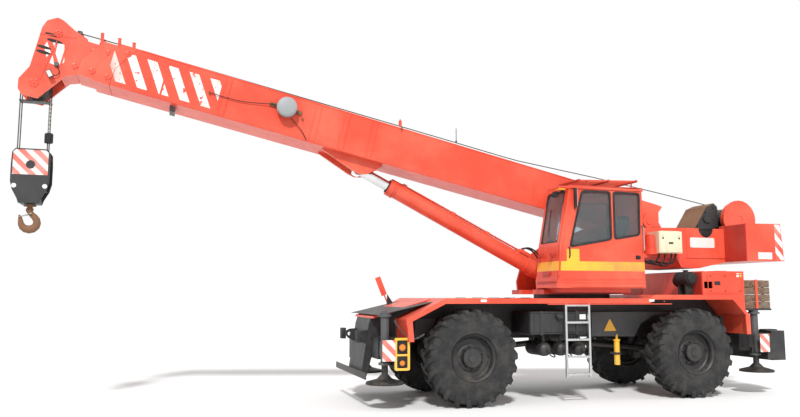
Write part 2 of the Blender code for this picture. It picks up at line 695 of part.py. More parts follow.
def cab():
    side = -CAB_LEFT + 0.045
    inner = [(1.50, 1.88), (3.02, 1.88), (3.005, 3.43), (1.735, 3.44), (1.555, 2.51)]
    ledge = CAB_LOW + 0.122
    skirt = [(1.44, CAB_LOW), (3.07, CAB_LOW), (3.068, ledge), (1.452, ledge)]
    eave = [(1.682, 3.435), (3.055, 3.435), (3.055, 3.47), (1.69, 3.49)]
    opening = [(1.60, 1.99), (2.99, 1.99), (2.985, 3.39), (1.80, 3.39), (1.62, 2.50)]
    right = [(1.80, 2.60), (2.85, 2.60), (2.85, 3.30), (1.92, 3.30)]
    front_cut = [(1.30, 2.56), (1.60, 2.56), (1.78, 3.40), (1.50, 3.40)]
    piece(
        "cab_shell",
        UPPER,
        "red_paint",
        [
            prism(CAB_SIDE, "Y", side, -CAB_RIGHT),
            prism(skirt, "Y", -CAB_LEFT, side + 0.01),
            prism(eave, "Y", -CAB_LEFT, side + 0.01),
        ],
        [
            prism(inner, "Y", side + CAB_WALL, -CAB_RIGHT - CAB_WALL),
            prism(opening, "Y", -1.4, side + CAB_WALL + 0.02),
            prism(front_cut, "Y", side + CAB_WALL + 0.01, -CAB_RIGHT - CAB_WALL - 0.01),
            prism(right, "Y", -CAB_RIGHT - CAB_WALL - 0.02, -0.3),
        ],
    )
    glass_y = (side + CAB_WALL + 0.01 + SLIDE, -CAB_RIGHT - CAB_WALL - 0.01 - SLIDE)
    pane = screen(2.56 + SLIDE, 3.40 - SLIDE, 0.015, 0.008)
    piece("windscreen", UPPER, "cab_glass", [prism(pane, "Y", *glass_y)])
    pane = prism(shrink(right, SLIDE), "Y", -CAB_RIGHT - 0.03, -CAB_RIGHT - 0.022)
    piece("right_window", UPPER, "cab_glass", [pane])
    floor = 1.88 + SEAT
    seat = [(2.30, floor), (2.70, floor), (2.72, 2.28), (2.80, 2.35), (2.90, 3.05), (2.78, 3.08)]
    seat += [(2.66, 2.45), (2.18, 2.42), (2.16, 2.32), (2.30, 2.27)]
    piece("seat", UPPER, "seat_fabric", [prism(seat, "Y", -1.02, -0.60)])


def door():
    low = CAB_LOW + 0.122 + SLIDE
    runner = (1.46, -CAB_LEFT, low)
    slide = empty("door_axis", SLEW, Vector(runner) - Vector(UPPER[1]))
    group = (slide, runner)
    leaf = [(1.462, low), (3.066, low), (3.052, 3.43), (1.684, 3.43), (1.505, 2.505)]
    y0, y1 = -CAB_LEFT, -CAB_LEFT + DOOR_THICK
    piece(
        "cab_door",
        group,
        "red_paint",
        [prism(leaf, "Y", y0, y1)],
        [prism(WINDOW_1, "Y", y0 - 0.1, y1 + 0.1), prism(WINDOW_2, "Y", y0 - 0.1, y1 + 0.1)],
    )
    panes = (("door_glass_front", WINDOW_1), ("door_glass_rear", WINDOW_2))
    for name, outline in panes:
        pane = prism(shrink(outline, SLIDE), "Y", y0 + 0.012, y0 + 0.02)
        piece(name, group, "cab_glass", [pane])


# ---------------------------------------------------------------- boom
# Boom pieces are given in the boom's own frame: the foot pin is the origin and the boom runs along -X.


def along(points):
    """Turns (distance from the foot pin, height across the boom) into (x, z)."""
    return [(-s, n) for s, n in points]


def beam(start, front, half, low, top):
    """A box section with a sloping front end, given as three points down its front."""
    rear = [(start, low), (start, top)]
    return prism(along(rear + front), "Y", -half, half)


def trim(face, low, top):
    """The three points down a sloping face, cut to a new top and bottom."""
    (s0, n0), (s1, n1), (s2, n2) = face
    high = s1 + (s0 - s1) * (top - n1) / (n0 - n1)
    deep = s1 + (s2 - s1) * (low - n1) / (n2 - n1)
    return [(high, top), (s1, n1), (deep, low)]


def boom():
    luff = empty(
        "luff_axis", SLEW, (FOOT_X - SLEW_X, 0, FOOT_Z - DECK_TOP - 0.045), THETA
    )
    base = (luff, (0, 0, 0))
    seam = [(BOOM_SEAM - 0.24, BOOM_TOP), (BOOM_SEAM, -0.02), (BOOM_SEAM + 0.014, BOOM_LOW)]
    shell = seam[:1] + [(-0.18, BOOM_TOP), (-0.31, BOOM_TOP - 0.01), (-0.25, 0.25)]
    shell += [(-0.285, 0.10), (-0.27, -0.08), (-0.18, -0.22), (0.0, BOOM_LOW)]
    shell += [seam[2], seam[1]]
    w = BOOM_WALL
    lug = [(4.95, BOOM_LOW + 0.01), (5.98, BOOM_LOW + 0.01), (5.98, BOOM_LOW - 0.02)]
    lug += [(EYE_S + 0.13, EYE_N - 0.08), (EYE_S, EYE_N - 0.11), (EYE_S - 0.13, EYE_N - 0.08)]
    lug += [(4.95, BOOM_LOW - 0.03)]
    inner, outer = EYE_HALF + CLEAR, LUG_IN + 0.02
    pin = [(0, -outer), (0.075, -outer), (0.075, -inner), (0.045, -inner)]
    pin += [(0.045, inner), (0.075, inner), (0.075, outer), (0, outer)]
    room = box(-BOOM_SEAM - 1, -0.45, -BOOM_HALF + w, BOOM_HALF - w, BOOM_LOW + w, BOOM_TOP - w)
    piece(
        "boom_base",
        base,
        "red_paint",
        [
            prism(along(shell), "Y", -BOOM_HALF, BOOM_HALF),
            prism(along(lug), "Y", LUG_IN, LUG_IN + LUG_THICK),
            prism(along(lug), "Y", -LUG_IN - LUG_THICK, -LUG_IN),
            turned(pin, "Y", (-EYE_S, 0, EYE_N), 24),
        ],
        [room, rod(0.081, "Y", -0.5, 0.5, (0, 0, 0), 24)],
    )
    half, low, top = BOOM_HALF - w, BOOM_LOW + w, BOOM_TOP - w
    parent, collar_half, collar = luff, BOOM_HALF, seam
    stages = (
        # name, rear end, wall, collar's loss of width and height
        ("boom_section_2", 0.60, 0.016, 0.0),
        ("boom_section_3", 0.75, 0.014, 0.03),
    )
    for name, start, wall, loss in stages:
        half, low, top = half - 0.012, low + SLIDE, top - 0.012
        slide = empty(f"{name}_axis", parent, (0, 0, 0))
        face = trim(collar, BOOM_LOW + loss, BOOM_TOP - loss)
        back = [(s + CLEAR, n) for s, n in face]
        front = [(s + COLLAR, n) for s, n in face]
        collar_half = BOOM_HALF - loss
        tube = [(s - 0.004, n) for s, n in trim(front, low, top)]
        inside = box(-12, -start + 0.2, -half + wall, half - wall, low + wall, top - wall)
        piece(
            name,
            (slide, (0, 0, 0)),
            "red_paint",
            [
                beam(start, tube, half, low, top),
                prism(along(back + front[::-1]), "Y", -collar_half, collar_half),
            ],
            [inside],
        )
        parent, collar = slide, front
        half, low, top = half - wall, low + wall, top - wall
    half, low, top = half - 0.012, low + SLIDE, top - 0.012
    slide = empty("boom_tip_axis", parent, (0, 0, 0))
    tube = [(9.95, top), (9.95, 0.0), (9.95, low)]
    head = [
        (9.80, 0.33), (10.0, 0.40), (10.19, 0.50), (10.274, 0.517), (10.40, 0.43),
        (10.438, 0.31), (10.438, -0.317), (10.531, -0.535), (10.50, -0.68),
        (10.427, -0.75), (10.213, -0.742), (10.067, -0.507), (9.938, -0.305), (9.80, -0.25),
    ]  # fmt: skip
    axle = 0.04
    inner = 0.20
    piece(
        "boom_tip",
        (slide, (0, 0, 0)),
        "red_paint",
        [
            beam(0.90, tube, half, low, top),
            prism(along(head), "Y", -half, half),
        ],
        [
            box(-9.70, -0.5, -half + 0.012, half - 0.012, low + 0.012, top - 0.012),
            box(-11, -9.98, -inner, inner, -1, 1),
            rod(axle + 0.0005, "Y", -1, 1, (-HEAD_S, 0, HEAD_N), 24),
            rod(axle + 0.0005, "Y", -1, 1, (-10.20, 0, 0.28), 24),
        ],
    )
    sheaves = (("lower", HEAD_S, HEAD_N), ("upper", 10.20, 0.28))
    for name, s, n in sheaves:
        spin = empty(f"{name}_sheave_axis", slide, (-s, 0, n))
        r = SHEAVE_RADIUS
        reel = [(0, -half), (axle, -half), (axle, -0.13), (r, -0.13), (r, 0.13), (axle, 0.13)]
        reel += [(axle, half), (0, half)]
        spot = (-s, 0, n)
        group = (spin, spot)
        piece(f"head_sheave_{name}", group, "cast_iron", [turned(reel, "Y", spot, 24)], smooth=True)
    return luff, slide


def luffing_cylinder(luff):
    pin_x = FOOT_X - EYE_S * math.cos(THETA) + EYE_N * math.sin(THETA)
    pin_z = FOOT_Z + EYE_S * math.sin(THETA) + EYE_N * math.cos(THETA)
    reach = math.hypot(HEEL_X - pin_x, HEEL_Z - pin_z)
    slope = math.atan2(pin_z - HEEL_Z, HEEL_X - pin_x)
    eye = empty("luff_rod_axis", luff, (-EYE_S, 0, EYE_N), slope - THETA)
    end = reach - 0.63
    piece(
        "luff_rod",
        (eye, (0, 0, 0)),
        "chrome_rod",
        [rod(0.11, "Y", -EYE_HALF, EYE_HALF, (0, 0, 0), 24), rod(ROD_RADIUS, "X", 0.06, end, (0, 0, 0), 20)],
        [rod(0.0458, "Y", -0.2, 0.2, (0, 0, 0), 24)],
    )
    slide = empty("luff_barrel_axis", eye, (0, 0, 0))
    m = BARREL_START
    piece(
        "luff_barrel",
        (slide, (0, 0, 0)),
        "red_paint",
        [
            rod(BARREL_RADIUS, "X", m, reach - 0.09, (0, 0, 0), 20),
            rod(COLLAR_RADIUS, "X", m + 0.01, m + 0.10, (0, 0, 0), 20),
            rod(0.125, "Y", -0.10, 0.10, (reach, 0, 0), 20),
        ],
        [
            rod(ROD_RADIUS + 0.0008, "X", m - 0.1, reach - 0.15, (0, 0, 0), 20),
            rod(0.06, "Y", -0.2, 0.2, (reach, 0, 0), 16),
        ],
    )


def hook_gear(tip):
    hang = empty("hook_swing_axis", tip, (-HEAD_S, 0, HEAD_N), -THETA)
    group = (hang, (0, 0, 0))
    d = BLOCK_DROP
    x = SHEAVE_RADIUS + ROPE_RADIUS + SLIDE
    y = 0.075
    falls = [box(-x - 0.015, x + 0.015, -y - 0.015, y + 0.015, -0.235, -0.22)]
    for sx in (-x, x):
        for sy in (-y, y):
            falls.append(rod(ROPE_RADIUS, "Z", -d - ROPE_PAST, ROPE_PAST, (sx, sy, 0), 8))
    piece("hoist_ropes", group, "wire_rope", falls)
    lift = empty("hook_hoist_axis", hang, (0, 0, -d))
    b = BLOCK_HALF
    cheek = [(-0.12, 0.23), (0.12, 0.23), (b - 0.01, 0.12), (b, -0.05), (0.20, -0.40), (0.12, -0.58)]
    cheek += [(-0.12, -0.58), (-0.20, -0.40), (-b, -0.05), (-b + 0.01, 0.12)]
    sheave = [(0, -0.13), (SHEAVE_RADIUS, -0.13), (SHEAVE_RADIUS, 0.13), (0, 0.13)]
    piece(
        "hook_block",
        (lift, (0, 0, 0)),
        "black_paint",
        [
            turned(sheave, "Y", (0, 0, 0), 32),
            prism(cheek, "Y", -0.15, -0.125),
            prism(cheek, "Y", 0.125, 0.15),
            box(-0.10, 0.10, -0.14, 0.14, -0.58, -0.36),
        ],
    )
    swivel = empty("hook_swivel_axis", lift, (0, 0, -0.58))
    bar = [
        (0.0, -0.0005, 0.04), (0.0, -0.07, 0.04), (-0.045, -0.12, 0.045), (-0.105, -0.19, 0.05),
        (-0.125, -0.27, 0.053), (-0.085, -0.345, 0.055), (0.0, -0.375, 0.055),
        (0.08, -0.335, 0.05), (0.115, -0.265, 0.042), (0.125, -0.205, 0.032), (0.145, -0.155, 0.018),
    ]  # fmt: skip
    piece("hook", (swivel, (0, 0, 0)), "black_paint", [swept(bar, 10)], smooth=True)


chassis()
deck()
hood()
outrigger_boxes()
tanks()
axles()
wheels()
outriggers()
slewing()
turntable()
winch()
cab()
door()
LUFF, TIP = boom()
luffing_cylinder(LUFF)
hook_gear(TIP)
bpy.context.view_layer.update()
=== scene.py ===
import math
import random

import bmesh
import bpy
from mathutils import Matrix, Vector


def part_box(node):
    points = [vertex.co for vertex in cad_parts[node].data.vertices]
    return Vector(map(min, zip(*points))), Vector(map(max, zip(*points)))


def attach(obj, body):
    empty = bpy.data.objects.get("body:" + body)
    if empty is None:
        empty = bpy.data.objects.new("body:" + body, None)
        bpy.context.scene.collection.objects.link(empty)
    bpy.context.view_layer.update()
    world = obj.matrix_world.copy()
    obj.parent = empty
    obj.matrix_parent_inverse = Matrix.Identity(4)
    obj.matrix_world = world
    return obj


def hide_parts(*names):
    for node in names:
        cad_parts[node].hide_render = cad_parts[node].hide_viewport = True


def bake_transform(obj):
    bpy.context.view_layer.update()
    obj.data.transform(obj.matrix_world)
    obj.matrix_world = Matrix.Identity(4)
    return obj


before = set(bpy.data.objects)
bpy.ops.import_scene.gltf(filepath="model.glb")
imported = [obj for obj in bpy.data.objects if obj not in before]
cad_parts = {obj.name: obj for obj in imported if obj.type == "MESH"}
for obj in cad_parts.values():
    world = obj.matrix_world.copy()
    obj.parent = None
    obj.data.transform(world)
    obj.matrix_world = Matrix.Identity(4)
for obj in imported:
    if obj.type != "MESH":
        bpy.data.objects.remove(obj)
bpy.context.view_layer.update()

# Stations along X are counted from the front axle, as a mechanic would read them.
axleX = (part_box("front_left_tyre")[0][0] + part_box("front_left_tyre")[1][0]) / 2
boomPin = Vector((axleX + 3.70, 0, 3.02))
boomAngle = math.radians(12.8)
sides = {"left": -1, "right": 1}
shift = Matrix.Translation


def at(x, y, z):
    return Vector((axleX + x, y, z))


def onBoom(s, n, y=0.0):
    c, d = math.cos(boomAngle), math.sin(boomAngle)
    return Vector((boomPin.x - s * c + n * d, y, boomPin.z + s * d + n * c))


def addToScene(thing):
    bpy.context.scene.collection.objects.link(thing)


# shader nodes


def link(tree, value, socket):
    if isinstance(value, bpy.types.NodeSocket):
        tree.links.new(value, socket)
    else:
        socket.default_value = value


def maths(tree, operation, a, b=0.0, clamp=False):
    node = tree.nodes.new("ShaderNodeMath")
    node.operation = operation
    node.use_clamp = clamp
    link(tree, a, node.inputs[0])
    link(tree, b, node.inputs[1])
    return node.outputs[0]


def times(tree, a, b, clamp=False):
    return maths(tree, "MULTIPLY", a, b, clamp)


def plus(tree, a, b, clamp=False):
    return maths(tree, "ADD", a, b, clamp)


def blendColour(tree, factor, a, b, how="MIX"):
    node = tree.nodes.new("ShaderNodeMix")
    node.data_type = "RGBA"
    node.blend_type = how
    link(tree, factor, node.inputs[0])
    link(tree, a if isinstance(a, bpy.types.NodeSocket) else (*a[:3], 1), node.inputs[6])
    link(tree, b if isinstance(b, bpy.types.NodeSocket) else (*b[:3], 1), node.inputs[7])
    return node.outputs[2]


def ramp(tree, value, low, high, toLow=0.0, toHigh=1.0):
    node = tree.nodes.new("ShaderNodeMapRange")
    node.interpolation_type = "SMOOTHSTEP"
    for number, given in enumerate((value, low, high, toLow, toHigh)):
        link(tree, given, node.inputs[number])
    return node.outputs[0]


def noise(tree, vector, scale, detail=5.0, roughness=0.55):
    node = tree.nodes.new("ShaderNodeTexNoise")
    link(tree, vector, node.inputs["Vector"])
    node.inputs["Scale"].default_value = scale
    node.inputs["Detail"].default_value = detail
    node.inputs["Roughness"].default_value = roughness
    return node.outputs[0]


def placed(tree, vector, location=(0, 0, 0), turn=(0, 0, 0), scale=(1, 1, 1)):
    node = tree.nodes.new("ShaderNodeMapping")
    link(tree, vector, node.inputs["Vector"])
    node.inputs["Location"].default_value = location
    node.inputs["Rotation"].default_value = turn
    node.inputs["Scale"].default_value = scale
    return node.outputs[0]


def xyz(tree, vector):
    node = tree.nodes.new("ShaderNodeSeparateXYZ")
    link(tree, vector, node.inputs[0])
    return node.outputs


def objectSpot(tree):
    return tree.nodes.new("ShaderNodeTexCoord").outputs["Object"]


def newGroup(name, inputs, outputs):
    tree = bpy.data.node_groups.new(name, "ShaderNodeTree")
    for label, kind, value in inputs:
        socket = tree.interface.new_socket(label, in_out="INPUT", socket_type="NodeSocket" + kind)
        socket.default_value = value
    for label, kind in outputs:
        tree.interface.new_socket(label, in_out="OUTPUT", socket_type="NodeSocket" + kind)
    return tree, tree.nodes.new("NodeGroupInput").outputs, tree.nodes.new("NodeGroupOutput").inputs


def weatherGroup():
    # sun fade, rain streaks, settled dust, road dirt near the ground and chipped paint
    tree, given, out = newGroup(
        "weather",
        [
            ("Color", "Color", (0.5, 0.5, 0.5, 1)),
            ("Faded", "Color", (0.6, 0.5, 0.5, 1)),
            ("Roughness", "Float", 0.45),
            ("Fade", "Float", 0.4),
            ("Streaks", "Float", 0.3),
            ("Dust", "Float", 0.4),
            ("Chips", "Float", 0.3),
        ],
        [
            ("Color", "Color"),
            ("Roughness", "Float"),
            ("Metallic", "Float"),
            ("Height", "Float"),
        ],
    )
    spot = objectSpot(tree)
    broad = noise(tree, spot, 1.1, 7.0, 0.6)
    colour = blendColour(
        tree,
        times(tree, ramp(tree, broad, 0.35, 0.72), given["Fade"]),
        given["Color"],
        given["Faded"],
    )
    rain = noise(tree, placed(tree, spot, scale=(9, 9, 0.55)), 1.6, 6.0, 0.6)
    rainMask = times(tree, ramp(tree, rain, 0.5, 0.78), given["Streaks"])
    colour = blendColour(tree, rainMask, colour, (0.045, 0.03, 0.025))
    facing = tree.nodes.new("ShaderNodeNewGeometry").outputs["Normal"]
    upward = ramp(tree, xyz(tree, facing)[2], 0.25, 0.95)
    patches = ramp(tree, noise(tree, spot, 5.0, 9.0, 0.68), 0.38, 0.66)
    height = xyz(tree, spot)[2]
    low = ramp(tree, height, 1.35, 0.25)
    settled = plus(tree, times(tree, upward, 0.75), times(tree, low, 0.6))
    settled = plus(tree, settled, 0.12)
    dust = times(tree, times(tree, patches, settled), given["Dust"], True)
    colour = blendColour(tree, dust, colour, (0.235, 0.185, 0.135))
    flakes = noise(tree, spot, 27.0, 8.0, 0.62)
    edge = maths(tree, "SUBTRACT", 0.80, times(tree, given["Chips"], 0.16))
    chip = ramp(tree, flakes, edge, plus(tree, edge, 0.02))
    rustTone = blendColour(tree, ramp(tree, noise(tree, spot, 90.0, 4.0), 0.4, 0.65), (0.075, 0.03, 0.016),
        (0.17, 0.075, 0.035))
    colour = blendColour(tree, chip, colour, rustTone)
    tree.links.new(colour, out["Color"])
    rough = plus(tree, given["Roughness"], times(tree, dust, 0.4))
    rough = plus(tree, rough, times(tree, chip, 0.3), True)
    smears = times(tree, maths(tree, "SUBTRACT", noise(tree, spot, 7.5, 6.0), 0.5), 0.22)
    tree.links.new(plus(tree, rough, smears, True), out["Roughness"])
    tree.links.new(times(tree, chip, 0.25), out["Metallic"])
    peel = times(tree, noise(tree, spot, 210.0, 2.0), 0.12)
    dents = times(tree, noise(tree, spot, 2.6, 2.0), 1.6)
    relief = plus(tree, plus(tree, peel, dents), times(tree, chip, -0.5))
    tree.links.new(plus(tree, relief, times(tree, dust, 0.12)), out["Height"])
    return tree


def slantGroup():
    # diagonal bars: 1 inside a bar and 0 between them
    tree, given, out = newGroup(
        "slantBars",
        [
            ("Across", "Float", 0.0),
            ("Up", "Float", 0.0),
            ("Pitch", "Float", 0.2),
            ("Lean", "Float", 1.0),
            ("Share", "Float", 0.5),
        ],
        [("Mask", "Float")],
    )
    slid = plus(tree, given["Across"], times(tree, given["Up"], given["Lean"]))
    turns = maths(tree, "FRACT", maths(tree, "DIVIDE", slid, given["Pitch"]))
    tree.links.new(maths(tree, "LESS_THAN", turns, given["Share"]), out["Mask"])
    return tree


weather = weatherGroup()
slantBars = slantGroup()


def newMaterial(name):
    material = bpy.data.materials.new(name)
    material.use_nodes = True
    tree = material.node_tree
    return material, tree, tree.nodes["Principled BSDF"]


def useGroup(tree, group, **values):
    node = tree.nodes.new("ShaderNodeGroup")
    node.node_tree = group
    for label, value in values.items():
        link(tree, value, node.inputs[label])
    return node


def addBump(tree, shader, height, strength, distance):
    bump = tree.nodes.new("ShaderNodeBump")
    bump.inputs["Strength"].default_value = strength
    bump.inputs["Distance"].default_value = distance
    link(tree, height, bump.inputs["Height"])
    tree.links.new(bump.outputs[0], shader.inputs["Normal"])


def wire(tree, shader, colour, roughness):
    tree.links.new(colour, shader.inputs["Base Color"])
    tree.links.new(roughness, shader.inputs["Roughness"])


def finishPaint(tree, shader, colour, look):
    levels = {label.title(): look[label] for label in ("roughness", "fade", "streaks", "dust", "chips")}
    worn = useGroup(tree, weather, Color=colour, Faded=(*look["faded"], 1), **levels)
    for label, socket in (("Color", "Base Color"), ("Roughness", "Roughness"), ("Metallic", "Metallic")):
        tree.links.new(worn.outputs[label], shader.inputs[socket])
    addBump(tree, shader, worn.outputs["Height"], 0.3, 0.004)


# colour, sun-faded colour, roughness, fade, streaks, dust, chips
paintRows = {
    "crane red": ((0.69, 0.060, 0.026), (0.80, 0.135, 0.075), 0.36, 0.75, 0.16, 0.22, 0.12),
    # the next row is crane red darkened to stand in for shade on faces turned from the light: painted shade
    "painted shade red": ((0.42, 0.028, 0.018), (0.55, 0.06, 0.035), 0.42, 0.6, 0.3, 0.3, 0.2),
    "chassis black": ((0.010, 0.0105, 0.012), (0.028, 0.029, 0.032), 0.48, 0.7, 0.2, 0.22, 0.35),
    "frame grey": ((0.060, 0.066, 0.070), (0.115, 0.12, 0.12), 0.55, 0.8, 0.3, 0.4, 0.3),
    "marking white": ((0.74, 0.74, 0.71), (0.58, 0.57, 0.53), 0.45, 0.5, 0.25, 0.25, 0.2),
    "marking yellow": ((0.86, 0.47, 0.035), (0.82, 0.55, 0.13), 0.42, 0.5, 0.2, 0.25, 0.15),
    "box cream": ((0.72, 0.66, 0.46), (0.80, 0.76, 0.62), 0.45, 0.6, 0.3, 0.3, 0.25),
    "reel grey": ((0.30, 0.31, 0.32), (0.42, 0.42, 0.42), 0.5, 0.5, 0.25, 0.3, 0.2),
    "lamp amber": ((0.75, 0.20, 0.015), (0.8, 0.3, 0.05), 0.2, 0.2, 0.1, 0.3, 0.0),
    "rust brown": ((0.16, 0.075, 0.035), (0.25, 0.13, 0.07), 0.8, 0.8, 0.3, 0.3, 0.4),
}
paintColumns = ("colour", "faded", "roughness", "fade", "streaks", "dust", "chips")
paints = {name: dict(zip(paintColumns, row)) for name, row in paintRows.items()}


def plainPaint(name):
    material, tree, shader = newMaterial(name)
    look = paints[name]
    finishPaint(tree, shader, (*look["colour"], 1), look)
    return material


def within(tree, value, low, high):
    return times(tree, maths(tree, "GREATER_THAN", value, low), maths(tree, "LESS_THAN", value, high))


boomMarks = dict(
    panels=((7.75, 8.57), (8.60, 9.38)),
    low=-0.20,
    high=0.27,
    pitch=0.318,
    lean=-0.62,
    share=0.47,
)


def boomPaint(name, stations):
    # red with two panels of slanting white bars on each side near the front of the base section
    material, tree, shader = newMaterial(name)
    local = placed(tree, objectSpot(tree), location=tuple(-boomPin), turn=(0, 0, 0))
    turned = placed(tree, local, turn=(0, -boomAngle, 0))
    along, _, across = xyz(tree, turned)
    along = times(tree, along, -1.0)
    bars = useGroup(tree, slantBars, Across=along, Up=across, Pitch=boomMarks["pitch"], Lean=boomMarks["lean"],
        Share=boomMarks["share"])
    panels = None
    for low, high in stations:
        mask = within(tree, along, low, high)
        panels = mask if panels is None else plus(tree, panels, mask)
    panels = times(tree, panels, within(tree, across, boomMarks["low"], boomMarks["high"]))
    facing = tree.nodes.new("ShaderNodeNewGeometry").outputs["Normal"]
    sideways = maths(tree, "GREATER_THAN", maths(tree, "ABSOLUTE", xyz(tree, facing)[1]), 0.9)
    worn = maths(tree, "LESS_THAN", noise(tree, objectSpot(tree), 14.0, 7.0), 0.63)
    mask = times(tree, times(tree, panels, sideways), times(tree, bars.outputs[0], worn))
    look = paints["crane red"]
    finishPaint(tree, shader, blendColour(tree, mask, look["colour"], paints["marking white"]["colour"]), look)
    return material


def stripedPaint(name, first, second, axis, pitch, lean, share=0.5):
    material, tree, shader = newMaterial(name)
    parts = xyz(tree, objectSpot(tree))
    bars = useGroup(tree, slantBars, Across=parts[axis], Up=parts[2], Pitch=pitch, Lean=lean, Share=share)
    finishPaint(tree, shader, blendColour(tree, bars.outputs[0], paints[first]["colour"],
        paints[second]["colour"]), paints[second])
    return material


cabMarks = dict(low=2.10, high=2.25, blockFront=1.62, blockRear=1.85, blockTop=2.45)


def cabPaint():
    # red with a yellow stripe round the cab and a taller yellow block at its front corner
    material, tree, shader = newMaterial("cab paint")
    x, _, z = xyz(tree, objectSpot(tree))
    stripe = within(tree, z, cabMarks["low"], cabMarks["high"])
    block = maths(
        tree,
        "MULTIPLY",
        within(tree, x, axleX + cabMarks["blockFront"], axleX + cabMarks["blockRear"]),
        within(tree, z, cabMarks["low"], cabMarks["blockTop"]),
    )
    mask = maths(tree, "MAXIMUM", stripe, block)
    look = paints["crane red"]
    finishPaint(tree, shader, blendColour(tree, mask, look["colour"], paints["marking yellow"]["colour"]), look)
    return material


def rubberMaterial(name, colour, dusty, amount):
    material, tree, shader = newMaterial(name)
    spot = objectSpot(tree)
    cloud = noise(tree, spot, 6.0, 8.0, 0.65)
    fine = noise(tree, spot, 65.0, 5.0)
    mask = times(tree, ramp(tree, cloud, 0.36, 0.70), amount)
    mask = plus(tree, mask, times(tree, ramp(tree, fine, 0.5, 0.75), 0.25), True)
    wire(tree, shader, blendColour(tree, mask, colour, dusty), ramp(tree, fine, 0.3, 0.7, 0.72, 0.95))
    addBump(tree, shader, plus(tree, fine, noise(tree, spot, 300.0, 2.0)), 0.35, 0.002)
    return material


def metalMaterial(name, colour, roughness, grime, scale=(1, 1, 1)):
    material, tree, shader = newMaterial(name)
    spot = placed(tree, objectSpot(tree), scale=scale)
    scratches = noise(tree, spot, 60.0, 6.0)
    film = ramp(tree, noise(tree, objectSpot(tree), 4.0, 7.0), 0.45, 0.72)
    mask = times(tree, film, grime)
    tree.links.new(blendColour(tree, mask, colour, (0.10, 0.075, 0.05)), shader.inputs["Base Color"])
    shine = plus(tree, ramp(tree, scratches, 0.3, 0.7, roughness * 0.7, roughness * 1.4),
        times(tree, mask, 0.4), True)
    tree.links.new(shine, shader.inputs["Roughness"])
    shader.inputs["Metallic"].default_value = 1.0
    addBump(tree, shader, scratches, 0.12, 0.001)
    return material


def glassMaterial():
    material, tree, shader = newMaterial("cab glass")
    shader.inputs["Base Color"].default_value = (0.62, 0.70, 0.72, 1)
    shader.inputs["Transmission Weight"].default_value = 0.92
    shader.inputs["IOR"].default_value = 1.12
    spot = objectSpot(tree)
    film = ramp(tree, noise(tree, spot, 3.2, 8.0), 0.42, 0.8)
    tree.links.new(plus(tree, times(tree, film, 0.22), 0.03), shader.inputs["Roughness"])
    return material


def fabricMaterial():
    material, tree, shader = newMaterial("seat cloth")
    spot = objectSpot(tree)
    weave = tree.nodes.new("ShaderNodeTexBrick")
    link(tree, placed(tree, spot, scale=(160, 160, 160)), weave.inputs["Vector"])
    weave.inputs["Color1"].default_value = (0.030, 0.035, 0.045, 1)
    weave.inputs["Color2"].default_value = (0.050, 0.056, 0.068, 1)
    weave.inputs["Mortar"].default_value = (0.012, 0.013, 0.016, 1)
    worn = ramp(tree, noise(tree, spot, 8.0, 6.0), 0.5, 0.75)
    wire(tree, shader, blendColour(tree, times(tree, worn, 0.4), weave.outputs["Color"], (0.12, 0.115, 0.11)),
        ramp(tree, worn, 0, 1, 0.85, 0.95))
    shader.inputs["Sheen Weight"].default_value = 0.25
    addBump(tree, shader, weave.outputs["Fac"], 0.3, 0.001)
    return material


def timberMaterial():
    material, tree, shader = newMaterial("old timber")
    spot = objectSpot(tree)
    grain = noise(tree, placed(tree, spot, scale=(34, 1.6, 34)), 1.0, 8.0, 0.7)
    tone = blendColour(tree, ramp(tree, grain, 0.35, 0.68), (0.055, 0.030, 0.017), (0.26, 0.16, 0.095))
    blotch = ramp(tree, noise(tree, spot, 3.0, 5.0), 0.4, 0.7)
    tone = blendColour(tree, times(tree, blotch, 0.55), tone, (0.19, 0.165, 0.14))
    wire(tree, shader, tone, ramp(tree, grain, 0.3, 0.7, 0.75, 0.95))
    addBump(tree, shader, grain, 0.6, 0.004)
    return material


def ropeMaterial():
    # greased strands, wound round the rope's own length
    material, tree, shader = newMaterial("wire rope")
    strand = tree.nodes.new("ShaderNodeTexWave")
    strand.wave_type = "BANDS"
    strand.bands_direction = "DIAGONAL"
    link(tree, placed(tree, objectSpot(tree), scale=(90, 90, 60)), strand.inputs["Vector"])
    strand.inputs["Scale"].default_value = 1.0
    strand.inputs["Distortion"].default_value = 0.4
    tone = blendColour(tree, strand.outputs["Fac"], (0.018, 0.017, 0.016), (0.17, 0.16, 0.15))
    wire(tree, shader, tone, ramp(tree, strand.outputs["Fac"], 0, 1, 0.65, 0.4))
    shader.inputs["Metallic"].default_value = 0.7
    addBump(tree, shader, strand.outputs["Fac"], 0.7, 0.002)
    return material


look = {name: plainPaint(name) for name in paints}
look["boom"] = boomPaint("boom paint", boomMarks["panels"])
look["boom collar"] = boomPaint("boom collar paint", ((9.05, boomMarks["panels"][1][1]),))
look["cab"] = cabPaint()
look["red white bars"] = stripedPaint("red white bars", "crane red", "marking white", 0, 0.20, 1.0)
look["weight bars"] = stripedPaint("weight bars", "crane red", "marking white", 0, 0.22, 0.9)
look["tyre"] = rubberMaterial("tyre rubber", (0.011, 0.0112, 0.012), (0.055, 0.052, 0.048), 0.6)
look["black rubber"] = rubberMaterial("black rubber", (0.010, 0.010, 0.011), (0.045, 0.042, 0.038), 0.4)
look["chrome"] = metalMaterial("oiled chrome", (0.78, 0.79, 0.80), 0.12, 0.15)
look["aluminium"] = metalMaterial("worn aluminium", (0.60, 0.61, 0.62), 0.38, 0.3, (1, 1, 8))
look["bright steel"] = metalMaterial("bright steel", (0.52, 0.50, 0.47), 0.32, 0.4)
look["cast iron"] = metalMaterial("cast iron", (0.10, 0.095, 0.09), 0.5, 0.55)
look["glass"] = glassMaterial()
look["cloth"] = fabricMaterial()
look["timber"] = timberMaterial()
look["rope"] = ropeMaterial()
print("materials ready", len(look))

# meshes


